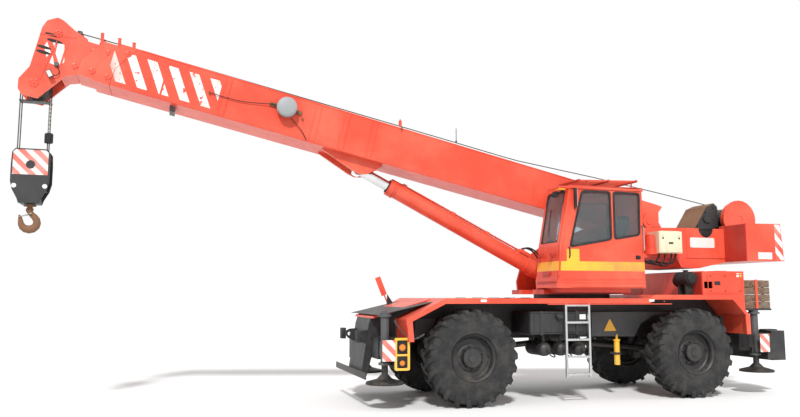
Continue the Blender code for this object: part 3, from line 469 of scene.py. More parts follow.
def meshPiece(name, body, material, build, smooth=None):
    # build fills a bmesh in world metres
    solid = bmesh.new()
    build(solid)
    mesh = bpy.data.meshes.new(name)
    solid.to_mesh(mesh)
    solid.free()
    return finishPiece(name, body, material, mesh, smooth)


def made(body, material, smooth=None, slot=None):
    # makes a piece of the function below it and gives it the function's name
    return lambda build: meshPiece(build.__name__, body, material, build, smooth)


def finishPiece(name, body, material, mesh, smooth=None):
    piece = bpy.data.objects.new(name, mesh)
    addToScene(piece)
    mesh.materials.clear()
    mesh.materials.append(look[material])
    if smooth is not None:
        roundOff(mesh, smooth)
    if body:
        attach(piece, body)
    return piece


def roundOff(mesh, degrees):
    mesh.polygons.foreach_set("use_smooth", [True] * len(mesh.polygons))
    limit = math.radians(degrees)
    shape = bmesh.new()
    shape.from_mesh(mesh)
    for edge in shape.edges:
        edge.smooth = len(edge.link_faces) == 2 and edge.calc_face_angle(0) < limit
    shape.to_mesh(mesh)
    shape.free()


def block(solid, low, high, bevel=0.0, turn=None, about=None):
    # a box between two corners, with its edges eased and turned if asked
    low, high = [min(pair) for pair in zip(low, high)], [max(pair) for pair in zip(low, high)]
    made = bmesh.ops.create_cube(solid, size=1.0)["verts"]
    for vert in made:
        vert.co = Vector([(low[i] + high[i]) / 2 + vert.co[i] * (high[i] - low[i]) for i in range(3)])
    if bevel:
        edges = {edge for vert in made for edge in vert.link_edges}
        made = bmesh.ops.bevel(solid, geom=list(edges), offset=bevel, segments=2, affect="EDGES",
            profile=0.6)["verts"]
    if turn is not None:
        centre = about or (Vector(low) + Vector(high)) / 2
        bmesh.ops.rotate(solid, verts=made, cent=centre, matrix=turn)
    return made


def tilted(degrees, axis="Y"):
    return Matrix.Rotation(math.radians(degrees), 3, axis)


def bridge(solid, rings, count):
    # faces between each ring of points and the next
    for one, other in zip(rings, rings[1:]):
        for step in range(count):
            after = (step + 1) % count
            solid.faces.new((one[step], one[after], other[after], other[step]))


def plate(solid, outline, low, high, axis="Y", bevel=0.0):
    # an outline pushed between two stations along an axis
    order = {"X": lambda a, b, t: (t, a, b), "Y": lambda a, b, t: (a, t, b), "Z": lambda a, b,
        t: (a, b, t)}[axis]
    first = [solid.verts.new(order(a, b, low)) for a, b in outline]
    second = [solid.verts.new(order(a, b, high)) for a, b in outline]
    faces = [solid.faces.new(first), solid.faces.new(second[::-1])]
    for i in range(len(outline)):
        j = (i + 1) % len(outline)
        faces.append(solid.faces.new((first[j], first[i], second[i], second[j])))
    bmesh.ops.recalc_face_normals(solid, faces=faces)
    if bevel:
        edges = list({edge for face in faces for edge in face.edges})
        bmesh.ops.bevel(solid, geom=edges, offset=bevel, segments=1, affect="EDGES")


def lathe(solid, profile, centre, axis="Y", steps=32):
    # (along, radius) points spun about an axis; a radius of 0 closes the end
    rings = []
    for t, radius in profile:
        if radius == 0:
            rings.append([solid.verts.new(spun(centre, axis, t, 0, 0))])
            continue
        turns = [2 * math.pi * i / steps for i in range(steps)]
        rings.append([solid.verts.new(spun(centre, axis, t, radius, turn)) for turn in turns])
    faces = []
    pairs = list(zip(rings, rings[1:])) if len(rings[0]) == 1 else list(zip(rings, rings[1:] + rings[:1]))
    for a, b in pairs:
        for i in range(steps):
            j = (i + 1) % steps
            corners = [a[i % len(a)], a[j % len(a)], b[j % len(b)], b[i % len(b)]]
            faces.append(solid.faces.new(list(dict.fromkeys(corners))))
    bmesh.ops.recalc_face_normals(solid, faces=faces)
    return [vert for ring in rings for vert in ring]


def facing(way, profile):
    # the same profile pointing along +Y or -Y
    return [(way * along, radius) for along, radius in profile]


def spun(centre, axis, t, radius, turn):
    a, b = radius * math.cos(turn), radius * math.sin(turn)
    step = {"X": (t, a, b), "Y": (a, t, b), "Z": (a, b, t)}[axis]
    return Vector(centre) + Vector(step)


def stick(solid, start, end, radius, steps=10):
    # a round bar between two points
    start, end = Vector(start), Vector(end)
    length = (end - start).length
    made = bmesh.ops.create_cone(solid, cap_ends=True, segments=steps, radius1=radius, radius2=radius,
        depth=length)["verts"]
    turn = Vector((0, 0, 1)).rotation_difference(end - start).to_matrix()
    for vert in made:
        vert.co = (start + end) / 2 + turn @ vert.co


# Geometry Nodes


def newTree(name, inputs):
    tree = bpy.data.node_groups.new(name, "GeometryNodeTree")
    tree.interface.new_socket("Geometry", in_out="INPUT", socket_type="NodeSocketGeometry")
    for label, kind, value in inputs:
        socket = tree.interface.new_socket(label, in_out="INPUT", socket_type="NodeSocket" + kind)
        if value is not None:
            socket.default_value = value
    tree.interface.new_socket("Geometry", in_out="OUTPUT", socket_type="NodeSocketGeometry")
    return tree, tree.nodes.new("NodeGroupInput").outputs, tree.nodes.new("NodeGroupOutput").inputs[0]


def node(tree, kind, links, **settings):
    made = tree.nodes.new(kind)
    for label, value in settings.items():
        setattr(made, label, value)
    for key, value in links.items():
        link(tree, value, made.inputs[key])
    return made


def closeTree(tree, geometry, material, out):
    real = node(tree, "GeometryNodeRealizeInstances", {0: geometry})
    painted = node(tree, "GeometryNodeSetMaterial", {0: real.outputs[0], "Material": material})
    tree.links.new(painted.outputs[0], out)


def ringTree():
    # copies of a shape set round the Y axis
    tree, given, out = newTree(
        "copies round an axle",
        [("Count", "Int", 8), ("Start", "Float", 0.0), ("Material", "Material", None)],
    )
    points = node(tree, "GeometryNodePoints", {"Count": given["Count"]})
    placedCopies = node(tree, "GeometryNodeInstanceOnPoints",
        {"Points": points.outputs[0], "Instance": given["Geometry"]})
    index = tree.nodes.new("GeometryNodeInputIndex").outputs[0]
    turn = times(tree, maths(tree, "DIVIDE", index, given["Count"]), 2 * math.pi)
    spin = node(tree, "ShaderNodeCombineXYZ", {"Y": plus(tree, turn, given["Start"])})
    turned = node(tree, "GeometryNodeRotateInstances",
        {"Instances": placedCopies.outputs[0], "Rotation": spin.outputs[0], "Local Space": False})
    closeTree(tree, turned.outputs[0], given["Material"], out)
    return tree


def hoseTree():
    # a round bar or hose that follows a path, with a ring at even steps
    tree, given, out = newTree(
        "bar along a path",
        [
            ("Radius", "Float", 0.01),
            ("Sides", "Int", 10),
            ("Step", "Float", 0.02),
            ("Material", "Material", None),
        ],
    )
    even = node(tree, "GeometryNodeResampleCurve", {"Curve": given["Geometry"], "Length": given["Step"]},
        mode="LENGTH")
    ring = node(tree, "GeometryNodeCurvePrimitiveCircle",
        {"Resolution": given["Sides"], "Radius": given["Radius"]})
    tube = node(tree, "GeometryNodeCurveToMesh",
        {"Curve": even.outputs[0], "Profile Curve": ring.outputs[0], "Fill Caps": True})
    closeTree(tree, tube.outputs[0], given["Material"], out)
    return tree


def coilTree():
    # rope wound on a drum along Y
    tree, given, out = newTree(
        "rope on a drum",
        [
            ("Wraps", "Float", 20.0),
            ("Drum radius", "Float", 0.2),
            ("Width", "Float", 0.5),
            ("Rope radius", "Float", 0.01),
            ("Material", "Material", None),
        ],
    )
    spiral = node(
        tree,
        "GeometryNodeCurveSpiral",
        {"Resolution": 28, "Rotations": given["Wraps"], "Start Radius": given["Drum radius"],
            "End Radius": given["Drum radius"], "Height": given["Width"]},
    )
    ring = node(tree, "GeometryNodeCurvePrimitiveCircle", {"Resolution": 6, "Radius": given["Rope radius"]})
    tube = node(tree, "GeometryNodeCurveToMesh",
        {"Curve": spiral.outputs[0], "Profile Curve": ring.outputs[0], "Fill Caps": True})
    closeTree(tree, tube.outputs[0], given["Material"], out)
    return tree


trees = dict(ring=ringTree(), hose=hoseTree(), coil=coilTree())


def grown(kind, seed, material, **values):
    # runs a tree on a seed mesh or curve and returns the plain mesh
    holder = bpy.data.objects.new("seed", seed)
    addToScene(holder)
    modifier = holder.modifiers.new("copies", "NODES")
    modifier.node_group = trees[kind]
    values["Material"] = look[material]
    for item in trees[kind].interface.items_tree:
        if item.in_out == "INPUT" and item.name in values:
            modifier[item.identifier] = values[item.name]
    graph = bpy.context.evaluated_depsgraph_get()
    mesh = bpy.data.meshes.new_from_object(holder.evaluated_get(graph), depsgraph=graph)
    bpy.data.objects.remove(holder, do_unlink=True)
    return mesh


def seedMesh(build):
    solid = bmesh.new()
    build(solid)
    mesh = bpy.data.meshes.new("seed")
    solid.to_mesh(mesh)
    solid.free()
    return mesh


def pathCurve(points, soft=True):
    curve = bpy.data.curves.new("path", "CURVE")
    curve.dimensions = "3D"
    spline = curve.splines.new("NURBS" if soft else "POLY")
    spline.points.add(len(points) - 1)
    for point, spot in zip(spline.points, points):
        point.co = (*spot, 1)
    if soft:
        spline.order_u = 3
        spline.use_endpoint_u = True
    return curve


def hose(name, body, material, points, radius, soft=True, step=0.03, sides=10):
    mesh = grown("hose", pathCurve([Vector(p) for p in points], soft), material, Radius=radius, Sides=sides,
        Step=step)
    return finishPiece(name, body, material, mesh, 60)


def joined(name, body, material, meshes, smooth=None, place=(0, 0, 0)):
    # one piece from several meshes, smoothed and moved to its place
    solid = bmesh.new()
    for mesh in meshes:
        solid.from_mesh(mesh)
    mesh = bpy.data.meshes.new(name)
    solid.to_mesh(mesh)
    solid.free()
    mesh.transform(shift(place))
    return finishPiece(name, body, material, mesh, smooth)


# finish of the plain parts

nodeFinish = {
    "crane red": ["deck", "engine_hood", "turntable", "winch_frame", "luff_barrel", "winch_drum",
        "counterweight", "boom_section_3", "boom_tip"],
    "boom": ["boom_base"],
    "boom collar": ["boom_section_2"],
    "cab": ["cab_shell", "cab_door"],
    "chassis black": ["chassis_frame", "front_outrigger_box", "rear_outrigger_box", "fuel_tank", "air_tanks",
        "front_axle", "rear_axle", "slew_ring", "aux_drum_housing", "hook", "air_cleaner", "hydraulic_tank"],
    "box cream": ["control_cabinet"],
    "aluminium": ["access_ladder"],
    "chrome": ["luff_rod"],
    "cast iron": ["engine_block", "head_sheave_lower", "head_sheave_upper"],
    "timber": ["timber_mats"],
    "glass": ["windscreen", "right_window", "door_glass_front", "door_glass_rear"],
    "rope": ["hoist_ropes"],
    "cloth": ["seat"],
    "frame grey": ["hook_block"],
}
for end in ("front", "rear"):
    for side in sides:
        corner = f"{end}_{side}"
        nodeFinish["frame grey"] += [f"{corner}_outrigger_beam"]
        nodeFinish["chassis black"] += [f"{corner}_knuckle", f"{corner}_float", f"{corner}_rim"]
        nodeFinish.setdefault("tyre", []).append(f"{corner}_tyre")
for finish, names in nodeFinish.items():
    for name in names:
        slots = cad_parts[name].material_slots
        for slot in slots:
            slot.material = look[finish]
print("plain parts finished")

# tyres and rims

tyreLook = dict(
    lugs=22,
    lugWidth=0.075,
    crown=0.707,
    sideRings=(0.43, 0.50, 0.575),
)
rimLook = dict(nuts=10, nutCircle=0.150, nutSize=0.019, hub=0.150, flange=0.3575, gutter=0.325)


def tyreShell(solid, centre):
    r, half = tyreLook["crown"], 0.215
    section = [
        (-half + 0.03, 0.360), (-half, 0.385), (-half - 0.002, 0.46), (-half - 0.004, 0.56),
            (-half + 0.006, 0.62),
        (-half + 0.02, 0.668), (-half + 0.045, r - 0.008), (0, r), (half - 0.045, r - 0.008),
            (half - 0.02, 0.668),
        (half - 0.006, 0.62), (half + 0.004, 0.56), (half + 0.002, 0.46), (half, 0.385), (half - 0.03, 0.360),
        (half - 0.06, 0.352), (-half + 0.06, 0.352),
    ]
    lathe(solid, section, centre, "Y", 72)
    for radius in tyreLook["sideRings"]:
        lip = 0.006
        for way in (-1, 1):
            lathe(
                solid,
                facing(way, [(half - 0.012, radius - lip), (half + 0.0035, radius - lip / 2),
                    (half + 0.0035, radius + lip / 2), (half - 0.012, radius + lip)]),
                centre,
                "Y",
                72,
            )


def lugShape(solid, way):
    # one bar of the tread: slanting over the crown, then down the shoulder
    w, top, base = tyreLook["lugWidth"] / 2, 0.7446, tyreLook["crown"] - 0.02
    rows = [(0.004, -0.02, top, 0.85), (0.06, 0.01, top, 1.0), (0.13, 0.055, top - 0.001, 1.05),
        (0.185, 0.085, top - 0.006, 1.2), (0.213, 0.095, top - 0.045, 1.1), (0.2185, 0.097, 0.640, 0.75)]
    inner = [base, base, base - 0.004, base - 0.02, 0.66, 0.615]
    rings = []
    for (y, slide, high, wide), low in zip(rows, inner):
        x0, x1 = slide - w * wide, slide + w * wide
        depth = y if low > 0.66 else y - 0.012
        rings.append(
            [solid.verts.new((x, way * yy, math.sqrt(max(z * z - x * x, 0)))) for x, yy,
                z in ((x0 + 0.006, y, high), (x1 - 0.006, y, high), (x1, depth, low), (x0, depth, low))]
        )
    faces = [solid.faces.new(rings[0]), solid.faces.new(rings[-1][::-1])]
    for a, b in zip(rings, rings[1:]):
        for i in range(4):
            j = (i + 1) % 4
            faces.append(solid.faces.new((a[i], b[i], b[j], a[j])))
    bmesh.ops.recalc_face_normals(solid, faces=faces)


def rimShape(solid, out):
    # dished disc: out is the way that the wheel faces
    f, g, hub = rimLook["flange"], rimLook["gutter"], rimLook["hub"]
    section = [
        (0.165, f - 0.01), (0.172, f - 0.002), (0.168, f), (0.155, g + 0.012), (0.13, g), (0.06, g - 0.006),
            (0.045, g - 0.025),
        (0.03, g - 0.035), (0.022, 0.215), (0.03, 0.205), (0.034, 0.175), (0.034, hub + 0.002), (0.115, hub),
            (0.128, hub - 0.012),
        (0.13, 0.07), (0.142, 0.065), (0.146, 0.03), (0.146, 0),
    ]
    back = [(-0.05, 0), (-0.05, 0.12), (-0.02, 0.2), (-0.08, g - 0.03), (-0.165, g), (-0.172, f),
        (-0.15, f - 0.004), (-0.13, g + 0.014), (0.10, g + 0.013), (0.15, f - 0.012)]
    outline = [(out * y, r) for y, r in section[::-1]] + [(out * y, r) for y, r in back[::-1]]
    lathe(solid, outline, (0, 0, 0), "Y", 56)


def nutShape(solid, out):
    size, away = rimLook["nutSize"], rimLook["nutCircle"] + 0.032
    lathe(solid, facing(out, [(0.03, 0), (0.03, size), (0.052, size), (0.056, size * 0.6), (0.066, size * 0.55),
        (0.066, 0)]), (away, 0, 0), "Y", 6)


def wheel(corner, side):
    body = f"{corner}_wheel"
    low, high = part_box(f"{corner}_tyre")
    centre = (low + high) / 2
    out = sides[side]
    shell = seedMesh(lambda solid: tyreShell(solid, (0, 0, 0)))
    bars = [
        grown("ring", seedMesh(lambda solid: lugShape(solid, way)), "tyre", Count=tyreLook["lugs"], Start=start)
        for way, start in ((-1, 0.0), (1, math.pi / tyreLook["lugs"]))
    ]
    tyre = joined(f"{corner}TyreTread", body, "tyre", [shell, *bars], 34, centre)
    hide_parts(f"{corner}_tyre")
    disc = seedMesh(lambda solid: rimShape(solid, out))
    nuts = grown("ring", seedMesh(lambda solid: nutShape(solid, out)), "chassis black", Count=rimLook["nuts"],
        Start=0.2)
    valve = seedMesh(lambda solid: stick(solid, (0.27, out * 0.03, 0.03), (0.30, out * 0.09, 0.03), 0.006, 8))
    centre = centre + Vector((0, out * 0.02, 0))
    rim = joined(f"{corner}WheelDisc", body, "chassis black", [disc, nuts, valve], 38, centre)
    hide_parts(f"{corner}_rim")


for end in ("front", "rear"):
    for side in sides:
        wheel(f"{end}_{side}", side)
print("wheels made")

# boom

boomLook = dict(
    ribs=((7.66, 0.085), (6.20, 0.085), (5.72, 0.085), (5.24, 0.085)),
    seams=((8.78, 0.022),),
    side=0.331,
    low=-0.262,
    high=0.362,
    posts=((9.13, 0.30, "base_boom"), (9.345, 0.30, "second_boom"), (9.60, 0.30, "third_boom")),
)


def strap(solid, s, width, low, high, y, way):
    # a flat pressed rib standing on the side plate
    thick = 0.012
    corners = [onBoom(s - width / 2, low), onBoom(s + width / 2, low), onBoom(s + width / 2, high),
        onBoom(s - width / 2, high)]
    outline = [(point.x, point.z) for point in corners]
    plate(solid, outline, way * (y - 0.004), way * (y + thick), "Y", 0.003)


@made("base_boom", "boom")
def boomRibs(solid):
    b = boomLook
    for way in (-1, 1):
        for s, width in b["ribs"]:
            for edge in (-width / 2, width / 2):
                strap(solid, s + edge, 0.016, b["low"], b["high"], b["side"], way)
            strap(solid, s, width - 0.01, b["low"] + 0.01, b["high"] - 0.01, b["side"] - 0.008, way)
        for s, width in b["seams"]:
            strap(solid, s, width, b["low"], b["high"], b["side"] - 0.006, way)
    # flanges along the lower and upper edges
    for way in (-1, 1):
        for n in (b["low"] - 0.012, b["high"] + 0.002):
            ends = [onBoom(0.3, n), onBoom(9.02, n), onBoom(9.02, n + 0.018), onBoom(0.3, n + 0.018)]
            plate(solid, [(p.x, p.z) for p in ends], way * (b["side"] - 0.004), way * (b["side"] + 0.005))


def post(solid, s, n, height=0.18, radius=0.024, y=0.0):
    foot = onBoom(s, n, y)
    stick(solid, foot, foot + Vector((0, 0, height)), radius, 14)
    stick(solid, foot + Vector((0, 0, height - 0.004)), foot + Vector((0, 0, height + 0.004)), radius * 1.12,
        14)
    stick(solid, foot, foot + Vector((0, 0, 0.03)), radius * 1.5, 14)


for s, n, body in boomLook["posts"]:
    for y in (-0.15, 0.15):
        meshPiece(f"ropePost{body.title().replace('_', '')}{'L' if y < 0 else 'R'}", body, "crane red",
            lambda solid: post(solid, s, n + 0.03, y=y), 40)


def boltCircle(name, body, s, n, y, radius, count, boltRadius):
    # a round cover with bolts on the side of the boom, facing the way of y
    out = 1 if y > 0 else -1
    centre = onBoom(s, n, y)

    def cover(solid):
        rim = facing(out, [(0, 0), (0, radius * 1.3), (0.006, radius * 1.25), (0.008, radius * 0.9)])
        lathe(solid, rim + [(out * 0.004, radius * 0.8), (out * 0.004, 0)], (0, 0, 0), "Y", 28)
        lathe(solid, facing(out, [(0, 0), (0, radius * 0.32), (0.016, radius * 0.28), (0.016, 0)]), (0, 0, 0),
            "Y", 16)

    def bolt(solid):
        lathe(solid, facing(out,
            [(0, 0), (0, boltRadius), (0.014, boltRadius), (0.017, boltRadius * 0.7), (0.017, 0)]),
            (radius, 0, 0), "Y", 6)

    ring = grown("ring", seedMesh(bolt), "crane red", Count=count, Start=0.3)
    joined(name, body, "crane red", [seedMesh(cover), ring], 30, centre)


padCovers = [
    ("tip_boom", 9.66, 0.17, 0.245), ("tip_boom", 9.86, -0.13, 0.245),
    ("third_boom", 9.45, 0.20, 0.301), ("third_boom", 9.60, -0.14, 0.301),
    ("second_boom", 9.18, 0.26, 0.331), ("second_boom", 9.37, -0.17, 0.331),
]
for number, (body, s, n, y) in enumerate(padCovers):
    for side, way in sides.items():
        boltCircle(f"slidePadCover{number}{side.title()}", body, s, n, way * y, 0.036, 4, 0.009)

# boom head

headLook = dict(
    half=0.244,
    slots=((10.33, 0.02, 0.10, 0.022), (10.32, -0.055, 0.10, 0.024), (10.28, 0.235, 0.10, 0.022),
        (10.22, 0.155, 0.11, 0.024)),
)


def ovalPlate(solid, s, n, length, height, way):
    # a raised dark oval standing in for the shade inside a slot: painted shade
    y = headLook["half"]
    outline = []
    for step in range(24):
        turn = 2 * math.pi * step / 24
        point = onBoom(s + length * math.cos(turn), n + height * math.sin(turn))
        outline.append((point.x, point.z))
    plate(solid, outline, way * (y - 0.002), way * (y + 0.004))


# dark ovals on both cheeks: painted shade for the slots
@made("tip_boom", "black rubber")
def headSlotShade(solid):
    for way in (-1, 1):
        for s, n, length, height in headLook["slots"]:
            ovalPlate(solid, s, n, length, height, way)


def sideBand(solid, points, y, way, thick=0.003):
    outline = [(onBoom(s, n).x, onBoom(s, n).z) for s, n in points]
    plate(solid, outline, way * y, way * (y + thick))


@made("tip_boom", "marking white")
def headWhiteBars(solid):
    # two slanting white bars on each cheek, either side of the welded seam
    y = headLook["half"]
    for way in (-1, 1):
        sideBand(solid, [(10.08, 0.14), (10.17, 0.14), (10.16, -0.02), (10.055, -0.19), (10.01, -0.11)], y, way)
        sideBand(solid, [(10.24, 0.13), (10.19, 0.05), (10.19, 0.13)], y, way)
        sideBand(solid, [(10.315, 0.115), (10.335, 0.03), (10.26, -0.115), (10.225, -0.03)], y, way)
        sideBand(solid, [(10.19, -0.06), (10.20, -0.185), (10.13, -0.195)], y, way)


@made("tip_boom", "crane red")
def headWelds(solid):
    # doubler edges and a cover plate over the upper sheaves
    y = headLook["half"]
    for way in (-1, 1):
        sideBand(solid, [(10.185, 0.17), (10.197, 0.17), (10.262, -0.46), (10.250, -0.46)], y, way, 0.006)
        sideBand(solid, [(9.95, 0.30), (10.44, 0.205), (10.44, 0.195), (9.95, 0.29)], y, way, 0.006)
        sideBand(solid, [(10.03, 0.22), (10.06, 0.22), (10.06, -0.30), (10.03, -0.30)], y, way, 0.004)


for side, way in sides.items():
    boltCircle(f"lowerPinCover{side.title()}", "tip_boom", 10.315, -0.537, way * 0.2445, 0.052, 6, 0.010)
    boltCircle(f"upperPinCover{side.title()}", "tip_boom", 10.20, 0.28, way * 0.2445, 0.045, 6, 0.009)


def sheave(solid):
    # grooved rope wheels side by side on one axle
    count, radius, width = 3, 0.19, 0.26
    pitch = width / count
    for number in range(count):
        mid = -width / 2 + pitch * (number + 0.5)
        h = pitch / 2 - 0.001
        section = [
            (-h, 0.045), (-h, radius - 0.004), (-h + 0.004, radius - 0.001), (-0.014, radius - 0.006),
                (-0.008, radius - 0.022), (0, radius - 0.026),
            (0.008, radius - 0.022), (0.014, radius - 0.006), (h - 0.004, radius - 0.001), (h, radius - 0.004),
                (h, 0.045),
        ]
        lathe(solid, [(mid + t, r) for t, r in section], (0, 0, 0), "Y", 48)


def pinShape(solid, half):
    lathe(solid, [(-half, 0), (-half, 0.036), (-half + 0.004, 0.040), (half - 0.004, 0.040), (half, 0.036),
        (half, 0)], (0, 0, 0), "Y", 28)


for name, body, nodeName in (("lower", "lower_sheaves", "head_sheave_lower"),
        ("upper", "upper_sheaves", "head_sheave_upper")):
    low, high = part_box(nodeName)
    meshes = [seedMesh(sheave), seedMesh(lambda solid: pinShape(solid, 0.243))]
    piece = joined(f"{name}HeadSheaves", body, "cast iron", meshes, 34, (low + high) / 2)
    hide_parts(nodeName)

# work lamp and the switch of the upper limit, on the head's left cheek


@made("tip_boom", "frame grey")
def headLampCase(solid):
    spot = onBoom(10.14, -0.36, -0.30)
    block(solid, spot + Vector((-0.035, -0.03, -0.055)), spot + Vector((0.035, 0.03, 0.055)), 0.010,
        tilted(-28))
    stick(solid, onBoom(10.17, -0.28, -0.243), onBoom(10.15, -0.31, -0.30), 0.012, 10)
    block(solid, onBoom(10.10, -0.18, -0.262) - Vector((0.03, 0.018, 0.03)),
        onBoom(10.10, -0.18, -0.262) + Vector((0.03, 0.018, 0.03)), 0.006)


@made("tip_boom", "marking white", slot="cab_glass")
def headLampGlass(solid):
    spot = onBoom(10.14, -0.36, -0.332)
    block(solid, spot + Vector((-0.027, -0.002, -0.045)), spot + Vector((0.027, 0.003, 0.045)), 0.002,
        tilted(-28))


hose("headLampCable", "tip_boom", "black rubber",
    [onBoom(10.10, -0.20, -0.262), onBoom(10.02, -0.26, -0.266), onBoom(10.04, -0.36, -0.272),
    onBoom(10.12, -0.36, -0.29)], 0.006)
print("boom and head made")

# cable reel

reelLook = dict(s=6.71, n=0.135, y=-0.425, radius=0.155)


def reelDrum(solid):
    r = reelLook["radius"]
    section = [(0.04, 0), (0.04, 0.05), (0.02, 0.055), (0.015, r), (0.0, r + 0.004), (-0.012, r),
        (-0.012, r * 0.8), (-0.05, r * 0.8), (-0.05, r), (-0.06, r + 0.002), (-0.075, r * 0.9),
        (-0.085, r * 0.75), (-0.085, 0)]
    lathe(solid, section, (0, 0, 0), "Y", 48)


@made("base_boom", "rust brown")
def cableReelBracket(solid):
    c = onBoom(reelLook["s"], reelLook["n"], -0.345)
    for way in (-1, 1):
        spot = c + Vector((way * 0.20, 0, -way * 0.05))
        block(solid, spot + Vector((-0.055, -0.014, -0.03)), spot + Vector((0.055, 0.016, 0.03)), 0.004,
            tilted(12.8))
        block(solid, spot + Vector((-0.03 - way * 0.03, -0.05, -0.008)),
            spot + Vector((0.03 - way * 0.03, -0.005, 0.008)), 0.003, tilted(12.8))


reelCentre = onBoom(reelLook["s"], reelLook["n"], reelLook["y"])
joined("cableReel", "base_boom", "reel grey", [seedMesh(reelDrum)], 32, reelCentre)
reelWrap = grown("coil", pathCurve([(0, 0, 0), (0, 0, 1)]), "black rubber", Wraps=3.0, Width=0.03,
    **{"Drum radius": 0.13, "Rope radius": 0.006})
reelWrap.transform(shift(reelCentre + Vector((0, -0.015, 0))) @ Matrix.Rotation(math.radians(90), 4, "X"))
finishPiece("cableReelTurns", "base_boom", "black rubber", reelWrap, 60)
for number, (s, n) in enumerate(((4.80, 0.372), (6.42, 0.05), (7.9, 0.04))):
    meshPiece(
        f"cableGuide{number}", "base_boom", "rust brown",
            lambda solid: block(solid, onBoom(s, n, -0.352) - Vector((0.012, 0.018, 0.02)),
            onBoom(s, n, -0.352) + Vector((0.012, 0.022, 0.02)), 0.004)
    )
hose("reelCable", "base_boom", "black rubber",
    [onBoom(6.60, 0.0, -0.37), onBoom(6.44, -0.10, -0.365), onBoom(6.33, -0.20, -0.36),
    onBoom(6.28, -0.27, -0.35)], 0.006)
print("cable reel made")

# rope over the boom

ropeLook = dict(radius=0.0085)
ropeAbove = [at(5.45, 0.0, 3.40), at(4.35, 0.0, 3.60), at(2.885, 0.0, 3.851), at(1.295, 0.0, 4.091),
    at(-0.214, 0.0, 4.429), onBoom(9.05, 0.47), onBoom(10.12, 0.47)]


def ropeSpan(name, body, points):
    # a taut length of rope
    mesh = grown("hose", pathCurve(points, False), "rope", Radius=ropeLook["radius"], Sides=8, Step=0.25)
    finishPiece(name, body, "rope", mesh, 60)


ropeSpan("ropeFromWinch", "superstructure", ropeAbove[:2])
ropeSpan("ropeOverBoom", "base_boom", ropeAbove[1:6])
headRope = grown("hose", pathCurve([onBoom(9.05, 0.47), onBoom(9.95, 0.45)], False), "rope",
    Radius=ropeLook["radius"], Sides=8, Step=0.05)
headRope = finishPiece("ropeToHead", None, "rope", headRope, 60)
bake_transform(headRope)


@made("tip_boom", "crane red", 40)
def ropeGuard(solid):
    # a bent plate over the upper rope wheels with a raised middle
    y = 0.20
    outer = [(10.02, 0.33), (10.06, 0.42), (10.16, 0.475), (10.28, 0.47), (10.38, 0.41), (10.44, 0.30)]
    inner = [(10.42, 0.30), (10.365, 0.395), (10.275, 0.452), (10.165, 0.457), (10.075, 0.408), (10.04, 0.33)]
    outline = [(onBoom(s, n).x, onBoom(s, n).z) for s, n in outer + inner]
    plate(solid, outline, -y, y, "Y", 0.003)


@made("tip_boom", "cast iron", 40)
def frontRopeRoller(solid):
    for y in (-0.15, 0.15):
        foot = onBoom(9.93, 0.30, y)
        stick(solid, foot, foot + Vector((0, 0, 0.14)), 0.022, 12)
    stick(solid, onBoom(9.93, 0.42, -0.17), onBoom(9.93, 0.42, 0.17), 0.026, 16)


@made("base_boom", "crane red", 40)
def boomTopPost(solid):
    foot = at(-0.85, -0.10, 4.545)
    stick(solid, foot, foot + Vector((0, 0, 0.085)), 0.028, 14)
    stick(solid, foot + Vector((0, 0, 0.075)), foot + Vector((0, 0, 0.11)), 0.014, 12)


@made("base_boom", "frame grey", 40)
def boomMast(solid):
    foot = at(0.10, -0.25, 4.29)
    stick(solid, foot, foot + Vector((0, 0, 0.24)), 0.007, 8)
    stick(solid, foot, foot + Vector((0, 0, 0.03)), 0.016, 10)


@made("base_boom", "crane red", 40)
def boomRearCap(solid):
    spot = at(4.0, -0.12, 3.27)
    stick(solid, spot, spot + Vector((0, 0, 0.05)), 0.045, 16)
    stick(solid, spot + Vector((0, 0, 0.05)), spot + Vector((0, 0, 0.075)), 0.030, 16)


@made("superstructure", "crane red", 32)
def boomFootCovers(solid):
    # eye washers at the foot pin
    for way in (-1, 1):
        centre = onBoom(0, 0, 0)
        lathe(solid, facing(way, [(0.46, 0), (0.46, 0.125), (0.472, 0.12), (0.472, 0)]),
            (centre.x, 0, centre.z), "Y", 28)
        lathe(solid, facing(way, [(0.472, 0), (0.472, 0.062), (0.485, 0.056), (0.485, 0)]),
            (centre.x, 0, centre.z), "Y", 20)


@made("base_boom", "frame grey")
def boomUnderBracket(solid):
    for s in (8.36, 8.40):
        block(solid, onBoom(s, -0.34, -0.12) - Vector((0.012, 0.03, 0.03)),
            onBoom(s, -0.26, 0.12) + Vector((0.012, 0.03, 0.02)), 0.004)


hose("boomSideCable", "base_boom", "black rubber",
    [onBoom(7.9, 0.04, -0.352), onBoom(7.5, 0.02, -0.352), onBoom(7.1, 0.10, -0.356), onBoom(6.9, 0.15, -0.37)],
    0.006)
print("rope over the boom made")

# hook block

blockLook = dict(centre=(-6.1243, 3.40), cheek=0.148)


def blockOutline(grow=0.0):
    x, g = blockLook["centre"][0], grow
    left, right = x - 0.26 - g, x + 0.26 + g
    return [
        (left + 0.05, 3.825 + g), (right - 0.05, 3.825 + g), (right - 0.008, 3.77), (right, 3.60),
            (right, 3.34), (right - 0.03, 3.22),
        (right - 0.10, 3.09), (right - 0.12, 3.024 - g), (left + 0.12, 3.024 - g), (left + 0.10, 3.09),
            (left + 0.03, 3.22), (left, 3.34), (left, 3.60), (left + 0.008, 3.77),
    ]


